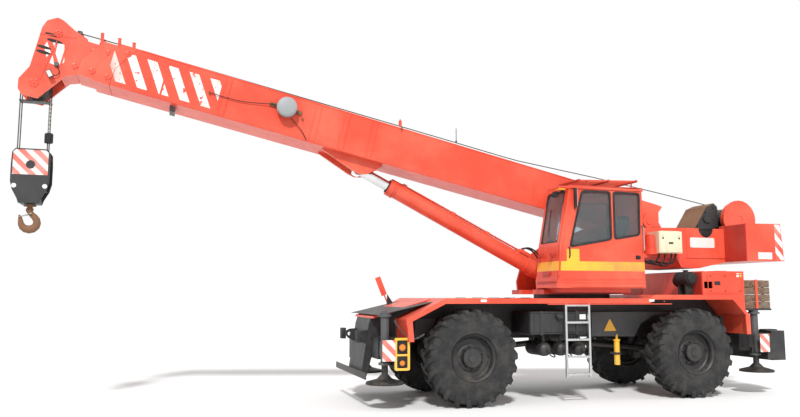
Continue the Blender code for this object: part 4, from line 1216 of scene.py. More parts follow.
def blockCheeks(solid):
    half = blockLook["cheek"]
    for way in (-1, 1):
        plate(solid, blockOutline(), way * half, way * (half - 0.03), "Y", 0.006)
        plate(solid, blockOutline(-0.02), way * (half - 0.032), way * (half - 0.042))
    for way in (-1, 1):
        plate(solid, blockOutline(-0.03), way * 0.018, way * 0.006)
    x = blockLook["centre"][0]
    block(solid, (x - 0.14, -0.135, 3.026), (x + 0.14, 0.135, 3.13), 0.012)
    for dx, z in ((-0.22, 3.62), (0.22, 3.62), (-0.19, 3.22), (0.19, 3.22)):
        stick(solid, (x + dx, -0.147, z), (x + dx, 0.147, z), 0.016, 12)


def blockWheels(solid):
    x = blockLook["centre"][0]
    for mid in (-0.067, 0.067):
        h = 0.042
        section = [(-h, 0.03), (-h, 0.196), (-0.016, 0.197), (-0.009, 0.178), (0.009, 0.178), (0.016, 0.197),
            (h, 0.196), (h, 0.03)]
        lathe(solid, [(mid + t, r) for t, r in section], (x, 0, 3.59), "Y", 44)
    lathe(solid, [(-0.149, 0), (-0.149, 0.05), (0.149, 0.05), (0.149, 0)], (x, 0, 3.59), "Y", 24)


@made("block", "red white bars", slot="black_paint")
def hookBlockPatch(solid):
    x, half = blockLook["centre"][0], blockLook["cheek"]
    for way in (-1, 1):
        plate(solid, [(x - 0.20, 3.805), (x + 0.20, 3.805), (x + 0.235, 3.77), (x + 0.235, 3.44),
            (x - 0.235, 3.44), (x - 0.235, 3.77)], way * half, way * (half + 0.0015))


@made("block", "marking white", 30, slot="black_paint")
def hookBlockSpots(solid):
    x, half = blockLook["centre"][0], blockLook["cheek"]
    for way in (-1, 1):
        for dx in (-0.205, 0.205):
            lathe(solid, facing(way, [(half, 0), (half, 0.034), (half + 0.002, 0.033), (half + 0.002, 0)]),
                (x + dx, 0, 3.275), "Y", 20)


def blockCover(solid):
    x, half = blockLook["centre"][0], blockLook["cheek"]
    for way in (-1, 1):
        lathe(solid, facing(way,
            [(half, 0), (half, 0.062), (half + 0.008, 0.058), (half + 0.008, 0.03), (half + 0.004, 0.026),
            (half + 0.004, 0)]), (x, 0, 3.59), "Y", 28)


blockMeshes = [seedMesh(build) for build in (blockCheeks, blockWheels, blockCover)]
blockPiece = joined("hookBlockBody", "block", "chassis black", blockMeshes, 34)
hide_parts("hook_block")


def hookShape(solid):
    # a forged hook drawn as rings along a bent line, thick at the bowl and thin at the tip
    x = blockLook["centre"][0]
    line = [
        (0.0, 3.018, 0.036), (0.0, 2.975, 0.036), (0.0, 2.955, 0.052), (0.0, 2.93, 0.054),
            (0.006, 2.905, 0.040), (0.030, 2.872, 0.040), (0.066, 2.84, 0.045),
        (0.098, 2.795, 0.050), (0.106, 2.745, 0.054), (0.092, 2.70, 0.058), (0.055, 2.665, 0.060),
            (0.005, 2.652, 0.060), (-0.045, 2.662, 0.056),
        (-0.085, 2.692, 0.050), (-0.108, 2.735, 0.042), (-0.116, 2.785, 0.034), (-0.125, 2.83, 0.024),
            (-0.137, 2.862, 0.013),
    ]
    count, rings = 16, []
    for number, (dx, z, radius) in enumerate(line):
        before, after = line[max(number - 1, 0)], line[min(number + 1, len(line) - 1)]
        run = Vector((after[0] - before[0], 0, after[1] - before[1])).normalized()
        side = Vector((-run.z, 0, run.x))
        ring = []
        for step in range(count):
            turn = 2 * math.pi * step / count
            ring.append(solid.verts.new(Vector((x + dx, 0, z)) + side * radius * math.cos(turn) + Vector((0,
                radius * 0.82 * math.sin(turn), 0))))
        rings.append(ring)
    bridge(solid, rings, count)
    solid.faces.new(rings[0][::-1])
    solid.faces.new(rings[-1])
    bmesh.ops.recalc_face_normals(solid, faces=solid.faces)


def hookNut(solid):
    x = blockLook["centre"][0]
    lathe(solid, [(3.016, 0.045), (3.016, 0.085), (2.992, 0.09), (2.984, 0.06), (2.984, 0.03)], (x, 0, 0), "Z",
        6)


@made("hook_swivelling", "bright steel", 40)
def hookLatch(solid):
    x = blockLook["centre"][0]
    stick(solid, (x + 0.03, -0.055, 2.885), (x - 0.13, -0.028, 2.835), 0.006, 8)
    stick(solid, (x + 0.03, 0.055, 2.885), (x - 0.13, 0.028, 2.835), 0.006, 8)
    stick(solid, (x - 0.13, -0.03, 2.835), (x - 0.13, 0.03, 2.835), 0.006, 8)
    stick(solid, (x + 0.028, -0.06, 2.885), (x + 0.028, 0.06, 2.885), 0.011, 10)


hookPiece = joined("cargoHook", "hook_swivelling", "rust brown", [seedMesh(hookShape), seedMesh(hookNut)], 38)
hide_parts("hook")


# the weight of the upper limit switch, hanging on a chain beside one fall


@made("tip_boom", "black rubber", 30)
def limitWeight(solid):
    x = axleX - 6.265
    lathe(solid, [(3.93, 0.012), (3.93, 0.055), (3.945, 0.06), (4.06, 0.06), (4.075, 0.05), (4.075, 0.012)],
        (x, -0.075, 0), "Z", 20)


@made("tip_boom", "bright steel", 50, slot="black_paint")
def limitChain(solid):
    x = axleX - 6.265
    top, low = 4.60, 4.07
    count = 18
    for number in range(count):
        z0 = low + (top - low) * number / count
        z1 = z0 + (top - low) / count + 0.006
        y = -0.094
        if number % 2:
            stick(solid, (x - 0.008, y, z0), (x - 0.008, y, z1), 0.0035, 6)
            stick(solid, (x + 0.008, y, z0), (x + 0.008, y, z1), 0.0035, 6)
        else:
            stick(solid, (x, y - 0.008, z0), (x, y - 0.008, z1), 0.0035, 6)
            stick(solid, (x, y + 0.008, z0), (x, y + 0.008, z1), 0.0035, 6)


print("hook block and hook made")

# luffing cylinder

cylinderLook = dict(foot=tuple(at(1.75, 0, 2.10)), eye=tuple(onBoom(5.295, -0.42)), mouth=0.585)


def alongCylinder(t, off=0.0, y=0.0):
    # a spot beside the cylinder's axis, t metres up from the barrel's foot
    start, end = Vector(cylinderLook["foot"]), Vector(cylinderLook["eye"])
    run = (end - start).normalized()
    side = Vector((run.z, 0, -run.x))
    if side.z < 0:
        side = -side
    return start + run * t + side * off + Vector((0, y, 0))


cylinderReach = (Vector(cylinderLook["eye"]) - Vector(cylinderLook["foot"])).length

cylinderLean = math.degrees(math.asin((cylinderLook["eye"][2] - cylinderLook["foot"][2]) / cylinderReach))


@made("cylinder_barrel", "crane red", 40)
def cylinderRings(solid):
    mouth = cylinderReach - cylinderLook["mouth"]
    for t, wide, radius in ((mouth - 0.004, 0.022, 0.142), (mouth - 0.105, 0.02, 0.153),
            (mouth - 0.125, 0.012, 0.147), (0.34, 0.02, 0.141), (0.20, 0.05, 0.143)):
        stick(solid, alongCylinder(t - wide), alongCylinder(t), radius, 36)


@made("cylinder_barrel", "black rubber", 40)
def cylinderWiper(solid):
    mouth = cylinderReach - cylinderLook["mouth"]
    stick(solid, alongCylinder(mouth - 0.01), alongCylinder(mouth + 0.016), 0.112, 32)


@made("cylinder_barrel", "crane red", 30)
def cylinderValve(solid):
    mouth = cylinderReach - cylinderLook["mouth"]
    for t in (0.55, 1.2, 1.9, mouth - 0.25):
        block(solid, alongCylinder(t, 0.132, -0.03) - Vector((0.03, 0.02, 0.012)),
            alongCylinder(t, 0.16, 0.03) + Vector((0.03, 0.02, 0.012)), 0.004, tilted(cylinderLean))
    spot = alongCylinder(0.42, 0.165)
    block(solid, spot - Vector((0.11, 0.07, 0.032)), spot + Vector((0.11, 0.07, 0.032)), 0.008,
        tilted(cylinderLean))


mouthSpot = cylinderReach - cylinderLook["mouth"]
for number, y in enumerate((-0.018, 0.018)):
    hose(f"cylinderPipe{number}", "cylinder_barrel", "crane red",
        [alongCylinder(0.40, 0.17, y), alongCylinder(0.60, 0.158, y), alongCylinder(mouthSpot - 0.22, 0.158, y),
        alongCylinder(mouthSpot - 0.10, 0.135, y)], 0.011, True, 0.12)
for number, y in enumerate((-0.05, 0.05)):
    hose(f"cylinderHose{number}", "cylinder_barrel", "black rubber",
        [alongCylinder(0.50, 0.18, y), alongCylinder(0.46, 0.27, y), alongCylinder(0.28, 0.30, y),
        alongCylinder(0.14, 0.24, y), alongCylinder(0.02, 0.16, y)], 0.014)


@made("base_boom", "cast iron", 32, slot="red_paint")
def rodEyeCovers(solid):
    centre = Vector(cylinderLook["eye"])
    for way in (-1, 1):
        lathe(solid, facing(way, [(0.145, 0), (0.145, 0.085), (0.155, 0.080), (0.155, 0)]),
            (centre.x, 0, centre.z), "Y", 24)


print("cylinder details made")

# cab


def flatHull(name, first, second):
    # the outline of a pane seen square on, from its own corners
    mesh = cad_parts[name].data
    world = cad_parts[name].matrix_world
    spots = sorted({(round((world @ v.co)[first], 4), round((world @ v.co)[second], 4)) for v in mesh.vertices})

    def half(points):
        chain = []
        for p in points:
            while len(chain) > 1 and (chain[-1][0] - chain[-2][0]) * (p[1] - chain[-2][1]) - (chain[-1][1] - chain[-2][1]) * (p[0] - chain[-2][0]) <= 1e-6:
                chain.pop()
            chain.append(p)
        return chain[:-1]

    return half(spots) + half(spots[::-1])


def grownOutline(points, amount, cut):
    # moves each side out by the amount and clips the corners
    count, moved = len(points), []
    for number in range(count):
        a, b, c = Vector(points[number - 1]), Vector(points[number]), Vector(points[(number + 1) % count])
        u, v = (b - a).normalized(), (c - b).normalized()
        out = (Vector((u.y, -u.x)) + Vector((v.y, -v.x))).normalized()
        reach = amount / max(out.dot(Vector((u.y, -u.x))), 0.3)
        spot = b + out * reach
        size = min(cut, (b - a).length * 0.4, (c - b).length * 0.4)
        for k in range(5):
            w = k / 4
            moved.append(tuple((1 - w) ** 2 * (spot - u * size) + 2 * w * (1 - w) * spot + w * w * (spot + v * size)))
    return moved


def collar(solid, outer, inner, low, high, axis="Y"):
    # a flat frame between two outlines with the same number of corners
    def spot(p, depth):
        return Vector((p[0], depth, p[1])) if axis == "Y" else Vector((depth, p[0], p[1]))

    rings = [[solid.verts.new(spot(p, depth)) for p in loop] for loop,
        depth in ((outer, low), (outer, high), (inner, high), (inner, low))]
    bridge(solid, rings + rings[:1], len(outer))
    bmesh.ops.recalc_face_normals(solid, faces=solid.faces)


cabLook = dict(seal=0.020, lip=0.012, corner=0.05, face=-1.2)


def paneSeal(name, low, high):
    points = flatHull(name, 0, 2)
    return lambda solid: collar(solid, grownOutline(points, cabLook["seal"], cabLook["corner"] + 0.02),
        grownOutline(points, -cabLook["lip"], cabLook["corner"]), low, high)


meshPiece("doorSealFront", "door", "black rubber", paneSeal("door_glass_front", -1.209, -1.190))
meshPiece("doorSealRear", "door", "black rubber", paneSeal("door_glass_rear", -1.209, -1.190))
meshPiece("rightWindowSeal", "superstructure", "black rubber", paneSeal("right_window", -0.492, -0.452))


@made("superstructure", "black rubber")
def windscreenSeal(solid):
    points = flatHull("windscreen", 1, 2)
    collar(solid, grownOutline(points, 0.022, 0.07), grownOutline(points, -0.014, 0.05), -0.014, 0.010, "X")
    low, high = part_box("windscreen")
    lean = (high.x - low.x - 0.012) / (high.z - low.z)
    for v in solid.verts:
        v.co.x += low.x + 0.002 + lean * (v.co.z - low.z)


@made("door", "cab")
def doorEdges(solid):
    face = cabLook["face"]
    # folded edges round the door, the skirt line and the top rail
    points = [(1.83, 1.965), (3.405, 1.965), (3.405, 3.42), (2.06, 3.42), (1.98, 3.0)]
    collar(solid, grownOutline(points, 0.0, 0.03), grownOutline(points, -0.014, 0.03), face - 0.006,
        face + 0.004)
    block(solid, (1.85, face - 0.016, 3.434), (3.42, face + 0.01, 3.462), 0.004)
    block(solid, (1.80, face - 0.010, 1.905), (3.42, face + 0.01, 1.925), 0.004)


meshPiece("doorTrim", "superstructure", "crane red",
    lambda solid: block(solid, (1.83, -1.222, 3.440), (3.42, -1.185, 3.470), 0.006))


@made("door", "bright steel", 40, slot="aluminium")
def doorGrabBar(solid):
    # a bent grab bar on the rear post
    stick(solid, at(3.035, -1.205, 2.42), at(3.035, -1.25, 2.45), 0.010, 10)
    stick(solid, at(3.035, -1.25, 2.45), at(3.035, -1.25, 2.83), 0.011, 12)
    stick(solid, at(3.035, -1.25, 2.83), at(3.035, -1.205, 2.86), 0.010, 10)


@made("door", "black rubber", 30)
def doorLatch(solid):
    block(solid, at(2.90, -1.216, 2.30), at(2.985, -1.198, 2.36), 0.004)
    stick(solid, at(2.92, -1.21, 2.33), at(2.92, -1.232, 2.33), 0.016, 14)
    stick(solid, at(1.66, -1.205, 2.31), at(1.66, -1.235, 2.33), 0.009, 10)
    stick(solid, at(1.66, -1.235, 2.33), at(1.66, -1.235, 2.46), 0.011, 12)
    stick(solid, at(1.66, -1.235, 2.46), at(1.66, -1.205, 2.48), 0.009, 10)


@made("superstructure", "crane red", 40)
def cabRail(solid):
    # the tube ahead of the door, from the skirt to the roof
    line = [at(1.475, -1.16, 1.96), at(1.475, -1.215, 2.02), at(1.500, -1.218, 2.45), at(1.685, -1.218, 3.40),
        at(1.70, -1.17, 3.46)]
    for a, b in zip(line, line[1:]):
        stick(solid, a, b, 0.014, 12)


@made("superstructure", "black rubber", 40)
def cabMirrors(solid):
    block(solid, at(1.755, -1.275, 3.12), at(1.80, -1.225, 3.44), 0.016)
    stick(solid, at(1.78, -1.20, 3.46), at(1.78, -1.25, 3.40), 0.009, 10)
    stick(solid, at(1.78, -1.20, 3.10), at(1.78, -1.25, 3.16), 0.009, 10)
    block(solid, at(1.50, -1.10, 3.30), at(1.56, -0.98, 3.40), 0.02)
    stick(solid, at(1.56, -1.04, 3.36), at(1.68, -1.06, 3.44), 0.009, 10)


@made("superstructure", "chrome")
def cabMirrorFace(solid):
    block(solid, at(1.797, -1.268, 3.135), at(1.804, -1.232, 3.425), 0.002)


meshPiece(
    "cabMirrorBracket", "superstructure", "marking yellow",
        lambda solid: block(solid, at(1.575, -1.09, 3.425), at(1.68, -0.99, 3.45), 0.006)
)

roofLook = dict(low=1.90, high=2.98, left=-1.16, right=-0.50, height=3.585, bars=7)


@made("superstructure", "crane red", 40)
def roofBars(solid):
    r = roofLook
    top = r["height"]
    for number in range(r["bars"]):
        y = r["left"] + (r["right"] - r["left"]) * number / (r["bars"] - 1)
        stick(solid, at(r["low"], y, top), at(r["high"], y, top + 0.03), 0.011, 8)


@made("superstructure", "painted shade red", 30)
def roofFrame(solid):
    # drawn in the darkened red copy of crane red that paints shade
    r = roofLook
    for x, lift in ((r["low"], 0), (2.45, 0.015), (r["high"], 0.03)):
        block(solid, at(x - 0.018, r["left"] - 0.02, r["height"] + lift - 0.022),
            at(x + 0.018, r["right"] + 0.02, r["height"] + lift + 0.018), 0.004)
    for x in (2.05, 2.90):
        for y in (r["left"] + 0.02, r["right"] - 0.02):
            stick(solid, at(x, y, 3.48), at(x, y, r["height"] + 0.01), 0.014, 10)
    block(solid, at(1.69, -1.185, 3.484), at(3.075, -0.47, 3.502), 0.008)


@made("superstructure", "black rubber", 30)
def roofHatch(solid):
    block(solid, at(2.1, -1.05, 3.498), at(2.8, -0.60, 3.525), 0.012)
    for x in (2.2, 2.45, 2.7):
        block(solid, at(x - 0.03, -1.0, 3.523), at(x + 0.03, -0.65, 3.535), 0.005)


@made("superstructure", "black rubber", 40)
def wiperArm(solid):
    low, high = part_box("windscreen")
    stick(solid, (low.x + 0.015, -0.80, low.z - 0.04), (low.x + 0.06, -0.70, low.z + 0.34), 0.006, 8)
    stick(solid, (low.x + 0.03, -0.705, low.z + 0.12), (low.x + 0.105, -0.695, low.z + 0.56), 0.008, 8)
    stick(solid, (low.x + 0.02, -0.80, low.z - 0.04), (low.x - 0.02, -0.80, low.z - 0.04), 0.018, 12)


@made("superstructure", "painted shade red", 30)
def cabFrontTrim(solid):
    # the lower front panel, a step and the lamp below the screen
    # drawn in the darkened red copy of crane red that paints shade on the cab front
    block(solid, (1.786, -1.15, 1.90), (1.800, -0.52, 1.935), 0.004)
    for y in (-1.03, -0.62):
        stick(solid, (1.805, y, 2.35), (1.775, y, 2.35), 0.045, 20)
    block(solid, (1.79, -0.95, 2.02), (1.805, -0.70, 2.09), 0.004)


@made("superstructure", "crane red", 30)
def cabSkirt(solid):
    block(solid, at(1.47, -1.206, 1.945), at(3.072, -1.190, 1.958), 0.003)
    block(solid, at(1.70, -1.20, 1.828), at(3.05, -1.19, 1.84), 0.003)
    for x in (1.62, 2.3, 2.95):
        stick(solid, at(x, -1.19, 1.885), at(x, -1.207, 1.885), 0.012, 6)


# inside the cab

seatLook = dict(y=-0.81, width=0.44)


@made("superstructure", "cloth", 50)
def seatCushions(solid):
    half = seatLook["width"] / 2
    y = seatLook["y"]
    block(solid, at(2.22, y - half, 2.26), at(2.72, y + half, 2.40), 0.045, tilted(4), at(2.5, y, 2.33))
    block(solid, at(2.70, y - half + 0.01, 2.36), at(2.84, y + half - 0.01, 2.98), 0.05, tilted(8),
        at(2.75, y, 2.4))
    block(solid, at(2.79, y - 0.13, 2.96), at(2.88, y + 0.13, 3.08), 0.035, tilted(8), at(2.75, y, 2.4))


@made("superstructure", "black rubber", 30, slot="seat_fabric")
def seatBase(solid):
    y = seatLook["y"]
    block(solid, at(2.30, y - 0.17, 2.14), at(2.68, y + 0.17, 2.262), 0.02)
    block(solid, at(2.36, y - 0.14, 1.885), at(2.64, y + 0.14, 2.15), 0.03)
    for way in (-1, 1):
        block(solid, at(2.32, y + way * 0.25 - 0.03, 2.50), at(2.68, y + way * 0.25 + 0.03, 2.55), 0.014)
        stick(solid, at(2.66, y + way * 0.25, 2.30), at(2.66, y + way * 0.25, 2.52), 0.014, 10)


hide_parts("seat")


@made("superstructure", "black rubber", 30)
def cabConsoles(solid):
    y = seatLook["y"]
    for way in (-1, 1):
        block(solid, at(2.05, y + way * 0.245 - 0.055, 1.885), at(2.42, y + way * 0.245 + 0.055, 2.34), 0.02)
    block(solid, at(1.56, y - 0.26, 1.885), at(1.72, y + 0.26, 2.44), 0.03)
    block(solid, at(1.60, y + 0.12, 2.44), at(1.66, y + 0.26, 2.62), 0.012)
    for dy in (-0.12, 0.0, 0.12):
        block(solid, at(1.80, y + dy - 0.04, 1.93), at(1.95, y + dy + 0.04, 1.95), 0.006, tilted(-28),
            at(1.88, y, 1.94))


@made("superstructure", "black rubber", 40)
def cabLevers(solid):
    y = seatLook["y"]
    for way in (-1, 1):
        for x in (2.12, 2.24):
            spot = at(x, y + way * 0.245, 2.33)
            stick(solid, spot, spot + Vector((-0.02, 0, 0.20)), 0.007, 10)
            stick(solid, spot + Vector((-0.02, 0, 0.18)), spot + Vector((-0.022, 0, 0.25)), 0.020, 12)
            stick(solid, spot - Vector((0, 0, 0.02)), spot + Vector((-0.004, 0, 0.05)), 0.028, 12)


@made("superstructure", "black rubber", 60)
def steeringWheel(solid):
    hub = at(1.86, seatLook["y"], 2.60)
    axis = Vector((0.55, 0, 0.83)).normalized()
    side, up = Vector((0, 1, 0)), Vector((-0.83, 0, 0.55))
    count = 28
    spots = [hub + (side * math.cos(2 * math.pi * k / count) + up * math.sin(2 * math.pi * k / count)) * 0.185 for k in range(count)]
    for k in range(count):
        stick(solid, spots[k], spots[(k + 1) % count], 0.013, 8)
    for k in (0, 9, 19):
        stick(solid, hub, spots[k], 0.010, 8)
    stick(solid, hub - axis * 0.02, hub + axis * 0.03, 0.04, 16)
    stick(solid, hub - axis * 0.02, at(1.66, seatLook["y"], 2.20), 0.024, 12)


print("cab made")

# winch and tail

winchLook = dict(centre=(6.028, 0, 3.119))


def winchDrumShape(solid):
    x, _, z = winchLook["centre"]
    for way in (-1, 1):
        section = facing(way, [(0.30, 0.0), (0.30, 0.18), (0.33, 0.18), (0.33, 0.328), (0.352, 0.33),
            (0.352, 0.30), (0.36, 0.29), (0.36, 0.22), (0.38, 0.21), (0.395, 0.15), (0.43, 0.145),
            (0.445, 0.10), (0.448, 0.0)])
        lathe(solid, section, (x, 0, z), "Y", 56)
    lathe(solid, [(-0.33, 0.0), (-0.33, 0.205), (0.33, 0.205), (0.33, 0.0)], (x, 0, z), "Y", 40)


def winchBolt(solid, way):
    lathe(solid, facing(way, [(0.356, 0), (0.356, 0.014), (0.372, 0.014), (0.375, 0.009), (0.375, 0)]),
        (0.255, 0, 0), "Y", 6)


winchMeshes = [seedMesh(winchDrumShape)]
for way in (-1, 1):
    ring = grown("ring", seedMesh(lambda solid: winchBolt(solid, way)), "crane red", Count=12, Start=0.1)
    ring.transform(shift(Vector(winchLook["centre"])))
    winchMeshes.append(ring)
winchPiece = joined("mainWinch", "winch", "crane red", winchMeshes, 32)
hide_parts("winch_drum")
drumRope = grown("coil", pathCurve([(0, 0, 0), (0, 0, 1)]), "rope", Wraps=32.0, Width=0.62,
    **{"Drum radius": 0.225, "Rope radius": 0.0095})
drumRope.transform(shift(Vector(winchLook["centre"]) + Vector((0, 0.31, 0))) @ Matrix.Rotation(math.radians(90),
    4, "X"))
finishPiece("drumRope", "winch", "rope", drumRope, 60)


@made("superstructure", "weight bars")
def weightStripes(solid):
    for way in (-1, 1):
        plate(solid, [(axleX + 5.80, 2.325), (axleX + 5.972, 2.325), (axleX + 5.922, 2.962),
            (axleX + 5.80, 2.960)], way * 1.15, way * 1.152)


@made("superstructure", "marking white")
def weightPlate(solid):
    plate(solid, [(axleX + 5.42, 2.34), (axleX + 5.72, 2.34), (axleX + 5.72, 2.46), (axleX + 5.42, 2.46)],
        -1.153, -1.1495)


@made("superstructure", "crane red", 40)
def weightLugs(solid):
    for y in (-0.8, 0.8):
        stick(solid, at(5.5, y, 2.965), at(5.5, y, 3.01), 0.035, 16)
        stick(solid, at(5.93, y, 2.56), at(6.0, y, 2.56), 0.035, 16)
    for way in (-1, 1):
        block(solid, at(5.19, way * 0.98 - 0.08, 2.50), at(5.21, way * 0.98 + 0.08, 2.62), 0.006)


@made("superstructure", "painted shade red")
def weightFront(solid):
    # the front face ahead of the weight, either side of the tail, in darkened red standing in for its shade: painted
    # shade
    for way in (-1, 1):
        block(solid, at(5.176, way * 0.62, 2.32), at(5.188, way * 1.14, 2.955), 0.002)


@made("superstructure", "crane red", 30)
def tailTrim(solid):
    # the fold, stiffeners and a ring at the lifting notch
    for way in (-1, 1):
        block(solid, at(4.365, way * 0.598, 2.375), at(4.379, way * 0.606, 2.905), 0.002)
        block(solid, at(4.40, way * 0.598, 2.372), at(5.17, way * 0.606, 2.392), 0.002)
        block(solid, at(5.02, way * 0.598, 2.39), at(5.034, way * 0.606, 2.905), 0.002)
        outline = []
        for step in range(15):
            turn = math.pi * (1 + step / 14)
            outline.append((axleX + 4.80 + 0.185 * math.cos(turn), 2.912 + 0.185 * math.sin(turn)))
        for step in range(14, -1, -1):
            turn = math.pi * (1 + step / 14)
            outline.append((axleX + 4.80 + 0.170 * math.cos(turn), 2.912 + 0.170 * math.sin(turn)))
        plate(solid, outline, way * 0.598, way * 0.606)


@made("superstructure", "marking white")
def tailPlate(solid):
    points = [(axleX + 4.44, 2.56), (axleX + 4.96, 2.56), (axleX + 4.96, 2.74), (axleX + 4.44, 2.74)]
    plate(solid, grownOutline(points, 0.0, 0.03), -0.6065, -0.6005, "Y")


@made("superstructure", "box cream", 30)
def cabinetDoor(solid):
    block(solid, at(3.66, -0.812, 2.455), at(4.11, -0.799, 2.805), 0.006)
    for x in (3.72, 4.05):
        block(solid, at(x - 0.022, -0.822, 2.735), at(x + 0.022, -0.808, 2.765), 0.004)
    block(solid, at(3.70, -0.80, 2.815), at(4.08, -0.52, 2.828), 0.004)


@made("superstructure", "black rubber", 30)
def cabinetLatches(solid):
    for x in (3.72, 4.05):
        stick(solid, at(x, -0.815, 2.70), at(x, -0.826, 2.70), 0.014, 12)
    block(solid, at(3.84, -0.820, 2.60), at(3.93, -0.808, 2.63), 0.004)


for number, (x, low) in enumerate(((3.72, 2.30), (3.84, 2.26), (3.97, 2.24), (4.06, 2.28))):
    hose(f"cabinetHose{number}", "superstructure", "black rubber",
        [at(x, -0.70, 2.45), at(x - 0.02, -0.70, low), at(x - 0.18, -0.62, low - 0.03),
        at(x - 0.42, -0.50, 2.32)], 0.015)


@made("superstructure", "crane red", 32)
def swingMotor(solid):
    stick(solid, at(3.62, -0.60, 2.52), at(3.62, -0.60, 2.74), 0.10, 28)
    stick(solid, at(3.62, -0.60, 2.73), at(3.62, -0.60, 2.77), 0.075, 24)
    stick(solid, at(3.62, -0.60, 2.42), at(3.62, -0.60, 2.53), 0.125, 28)
    for k in range(8):
        turn = 2 * math.pi * k / 8
        spot = at(3.62 + 0.107 * math.cos(turn), -0.60 + 0.107 * math.sin(turn), 2.53)
        stick(solid, spot, spot + Vector((0, 0, 0.018)), 0.010, 6)
    block(solid, at(3.30, -0.62, 2.36), at(3.72, -0.44, 2.43), 0.006)


@made("superstructure", "rust brown", 30, slot="black_paint")
def auxDrumLid(solid):
    # the tan lid and side flanges of the second drum housing
    plate(solid, [(axleX + 5.075, 3.356), (axleX + 5.238, 3.427), (axleX + 5.305, 3.368), (axleX + 5.295, 3.35),
        (axleX + 5.236, 3.408), (axleX + 5.085, 3.338)], -0.29, 0.29, "Y")
    plate(solid, [(axleX + 4.79, 2.94), (axleX + 5.07, 3.362), (axleX + 5.085, 3.352), (axleX + 4.805, 2.93)],
        -0.285, 0.285, "Y")


@made("superstructure", "chassis black", 32)
def auxDrumSides(solid):
    for way in (-1, 1):
        block(solid, at(4.82, way * 0.298, 2.92), at(5.16, way * 0.312, 2.96), 0.004)
        for x, z in ((4.86, 3.0), (5.05, 3.25), (5.22, 3.34), (5.12, 3.05)):
            stick(solid, at(x, way * 0.298, z), at(x, way * 0.318, z), 0.014, 6)
        stick(solid, at(5.06, way * 0.298, 3.12), at(5.06, way * 0.33, 3.12), 0.07, 24)


@made("superstructure", "crane red", 32)
def turntableDetails(solid):
    # weld lines and stiffeners on the two side plates, and caps on the heel pin
    for way in (-1, 1):
        foot = at(1.75, 0, 2.10)
        lathe(solid, facing(way, [(0.39, 0), (0.39, 0.12), (0.41, 0.115), (0.41, 0)]), (foot.x, 0, foot.z), "Y",
            28)
        lathe(solid, facing(way, [(0.41, 0), (0.41, 0.06), (0.425, 0.055), (0.425, 0)]), (foot.x, 0, foot.z),
            "Y", 20)
        block(solid, at(1.60, way * 0.385, 1.81), at(3.08, way * 0.402, 1.835), 0.004)
        for x in (2.1, 2.6):
            block(solid, at(x - 0.008, way * 0.385, 1.83), at(x + 0.008, way * 0.402, 2.36), 0.003)


@made("carrier", "chassis black", 32)
def slewRingBolts(solid):
    low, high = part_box("slew_ring")
    mid = (low + high) / 2
    for k in range(36):
        turn = 2 * math.pi * k / 36
        x, y = mid.x + 0.625 * math.cos(turn), mid.y + 0.625 * math.sin(turn)
        lathe(solid, [(1.668, 0), (1.668, 0.013), (1.684, 0.013), (1.686, 0.009), (1.686, 0)], (x, y, 0), "Z",
            6)
    for z in (1.672, 1.700):
        lathe(solid, [(z, 0.60), (z, 0.662), (z + 0.008, 0.662), (z + 0.008, 0.60)], (mid.x, mid.y, 0), "Z", 72)


print("winch and tail made")

# engine hood


@made("carrier", "crane red", 30)
def hoodDetails(solid):
    for way in (-1, 1):
        points = [(axleX + 4.30, 1.74), (axleX + 5.02, 1.74), (axleX + 5.02, 2.07), (axleX + 4.30, 2.07)]
        inner = grownOutline(points, -0.012, 0.03)
        collar(solid, grownOutline(points, 0.0, 0.03), inner, way * 1.188, way * 1.196)
    for x in (4.42, 4.62, 4.82):
        block(solid, at(x - 0.012, -0.95, 2.118), at(x + 0.012, 0.95, 2.128), 0.003)
    for y in (-0.9, 0.9):
        block(solid, at(4.70, y - 0.05, 2.118), at(4.90, y + 0.05, 2.135), 0.006)


@made("carrier", "black rubber", 30)
def hoodSlotShadeAndStuds(solid):
    # the dark patch and the dark louvre strips stand in for the shade in the openings: painted shade; the round studs
    # are fasteners
    block(solid, at(4.44, -1.1925, 1.88), at(4.56, -1.188, 1.945), 0.001)
    for x, z in ((4.36, 2.03), (4.36, 1.78), (4.96, 2.03), (4.96, 1.78), (4.66, 2.03), (4.66, 1.78)):
        stick(solid, at(x, -1.19, z), at(x, -1.1965, z), 0.010, 8)
    for number in range(7):
        z = 1.79 + 0.035 * number
        block(solid, at(4.70, 1.188, z), at(4.95, 1.196, z + 0.016), 0.002)


@made("carrier", "painted shade red")
def hoodFrontFace(solid):
    # the hood's front face in darkened red standing in for its shade: painted shade
    block(solid, at(4.192, -1.17, 1.72), at(4.201, -0.55, 2.10), 0.002)
    block(solid, at(4.192, 0.55, 1.72), at(4.201, 1.17, 2.10), 0.002)


meshPiece("hoodPlateWhite", "carrier", "marking white",
    lambda solid: block(solid, at(4.90, -1.193, 2.02), at(4.955, -1.187, 2.085), 0.001))
meshPiece("hoodPlateYellow", "carrier", "marking yellow",
    lambda solid: block(solid, at(4.965, -1.193, 2.02), at(5.01, -1.187, 2.085), 0.001))


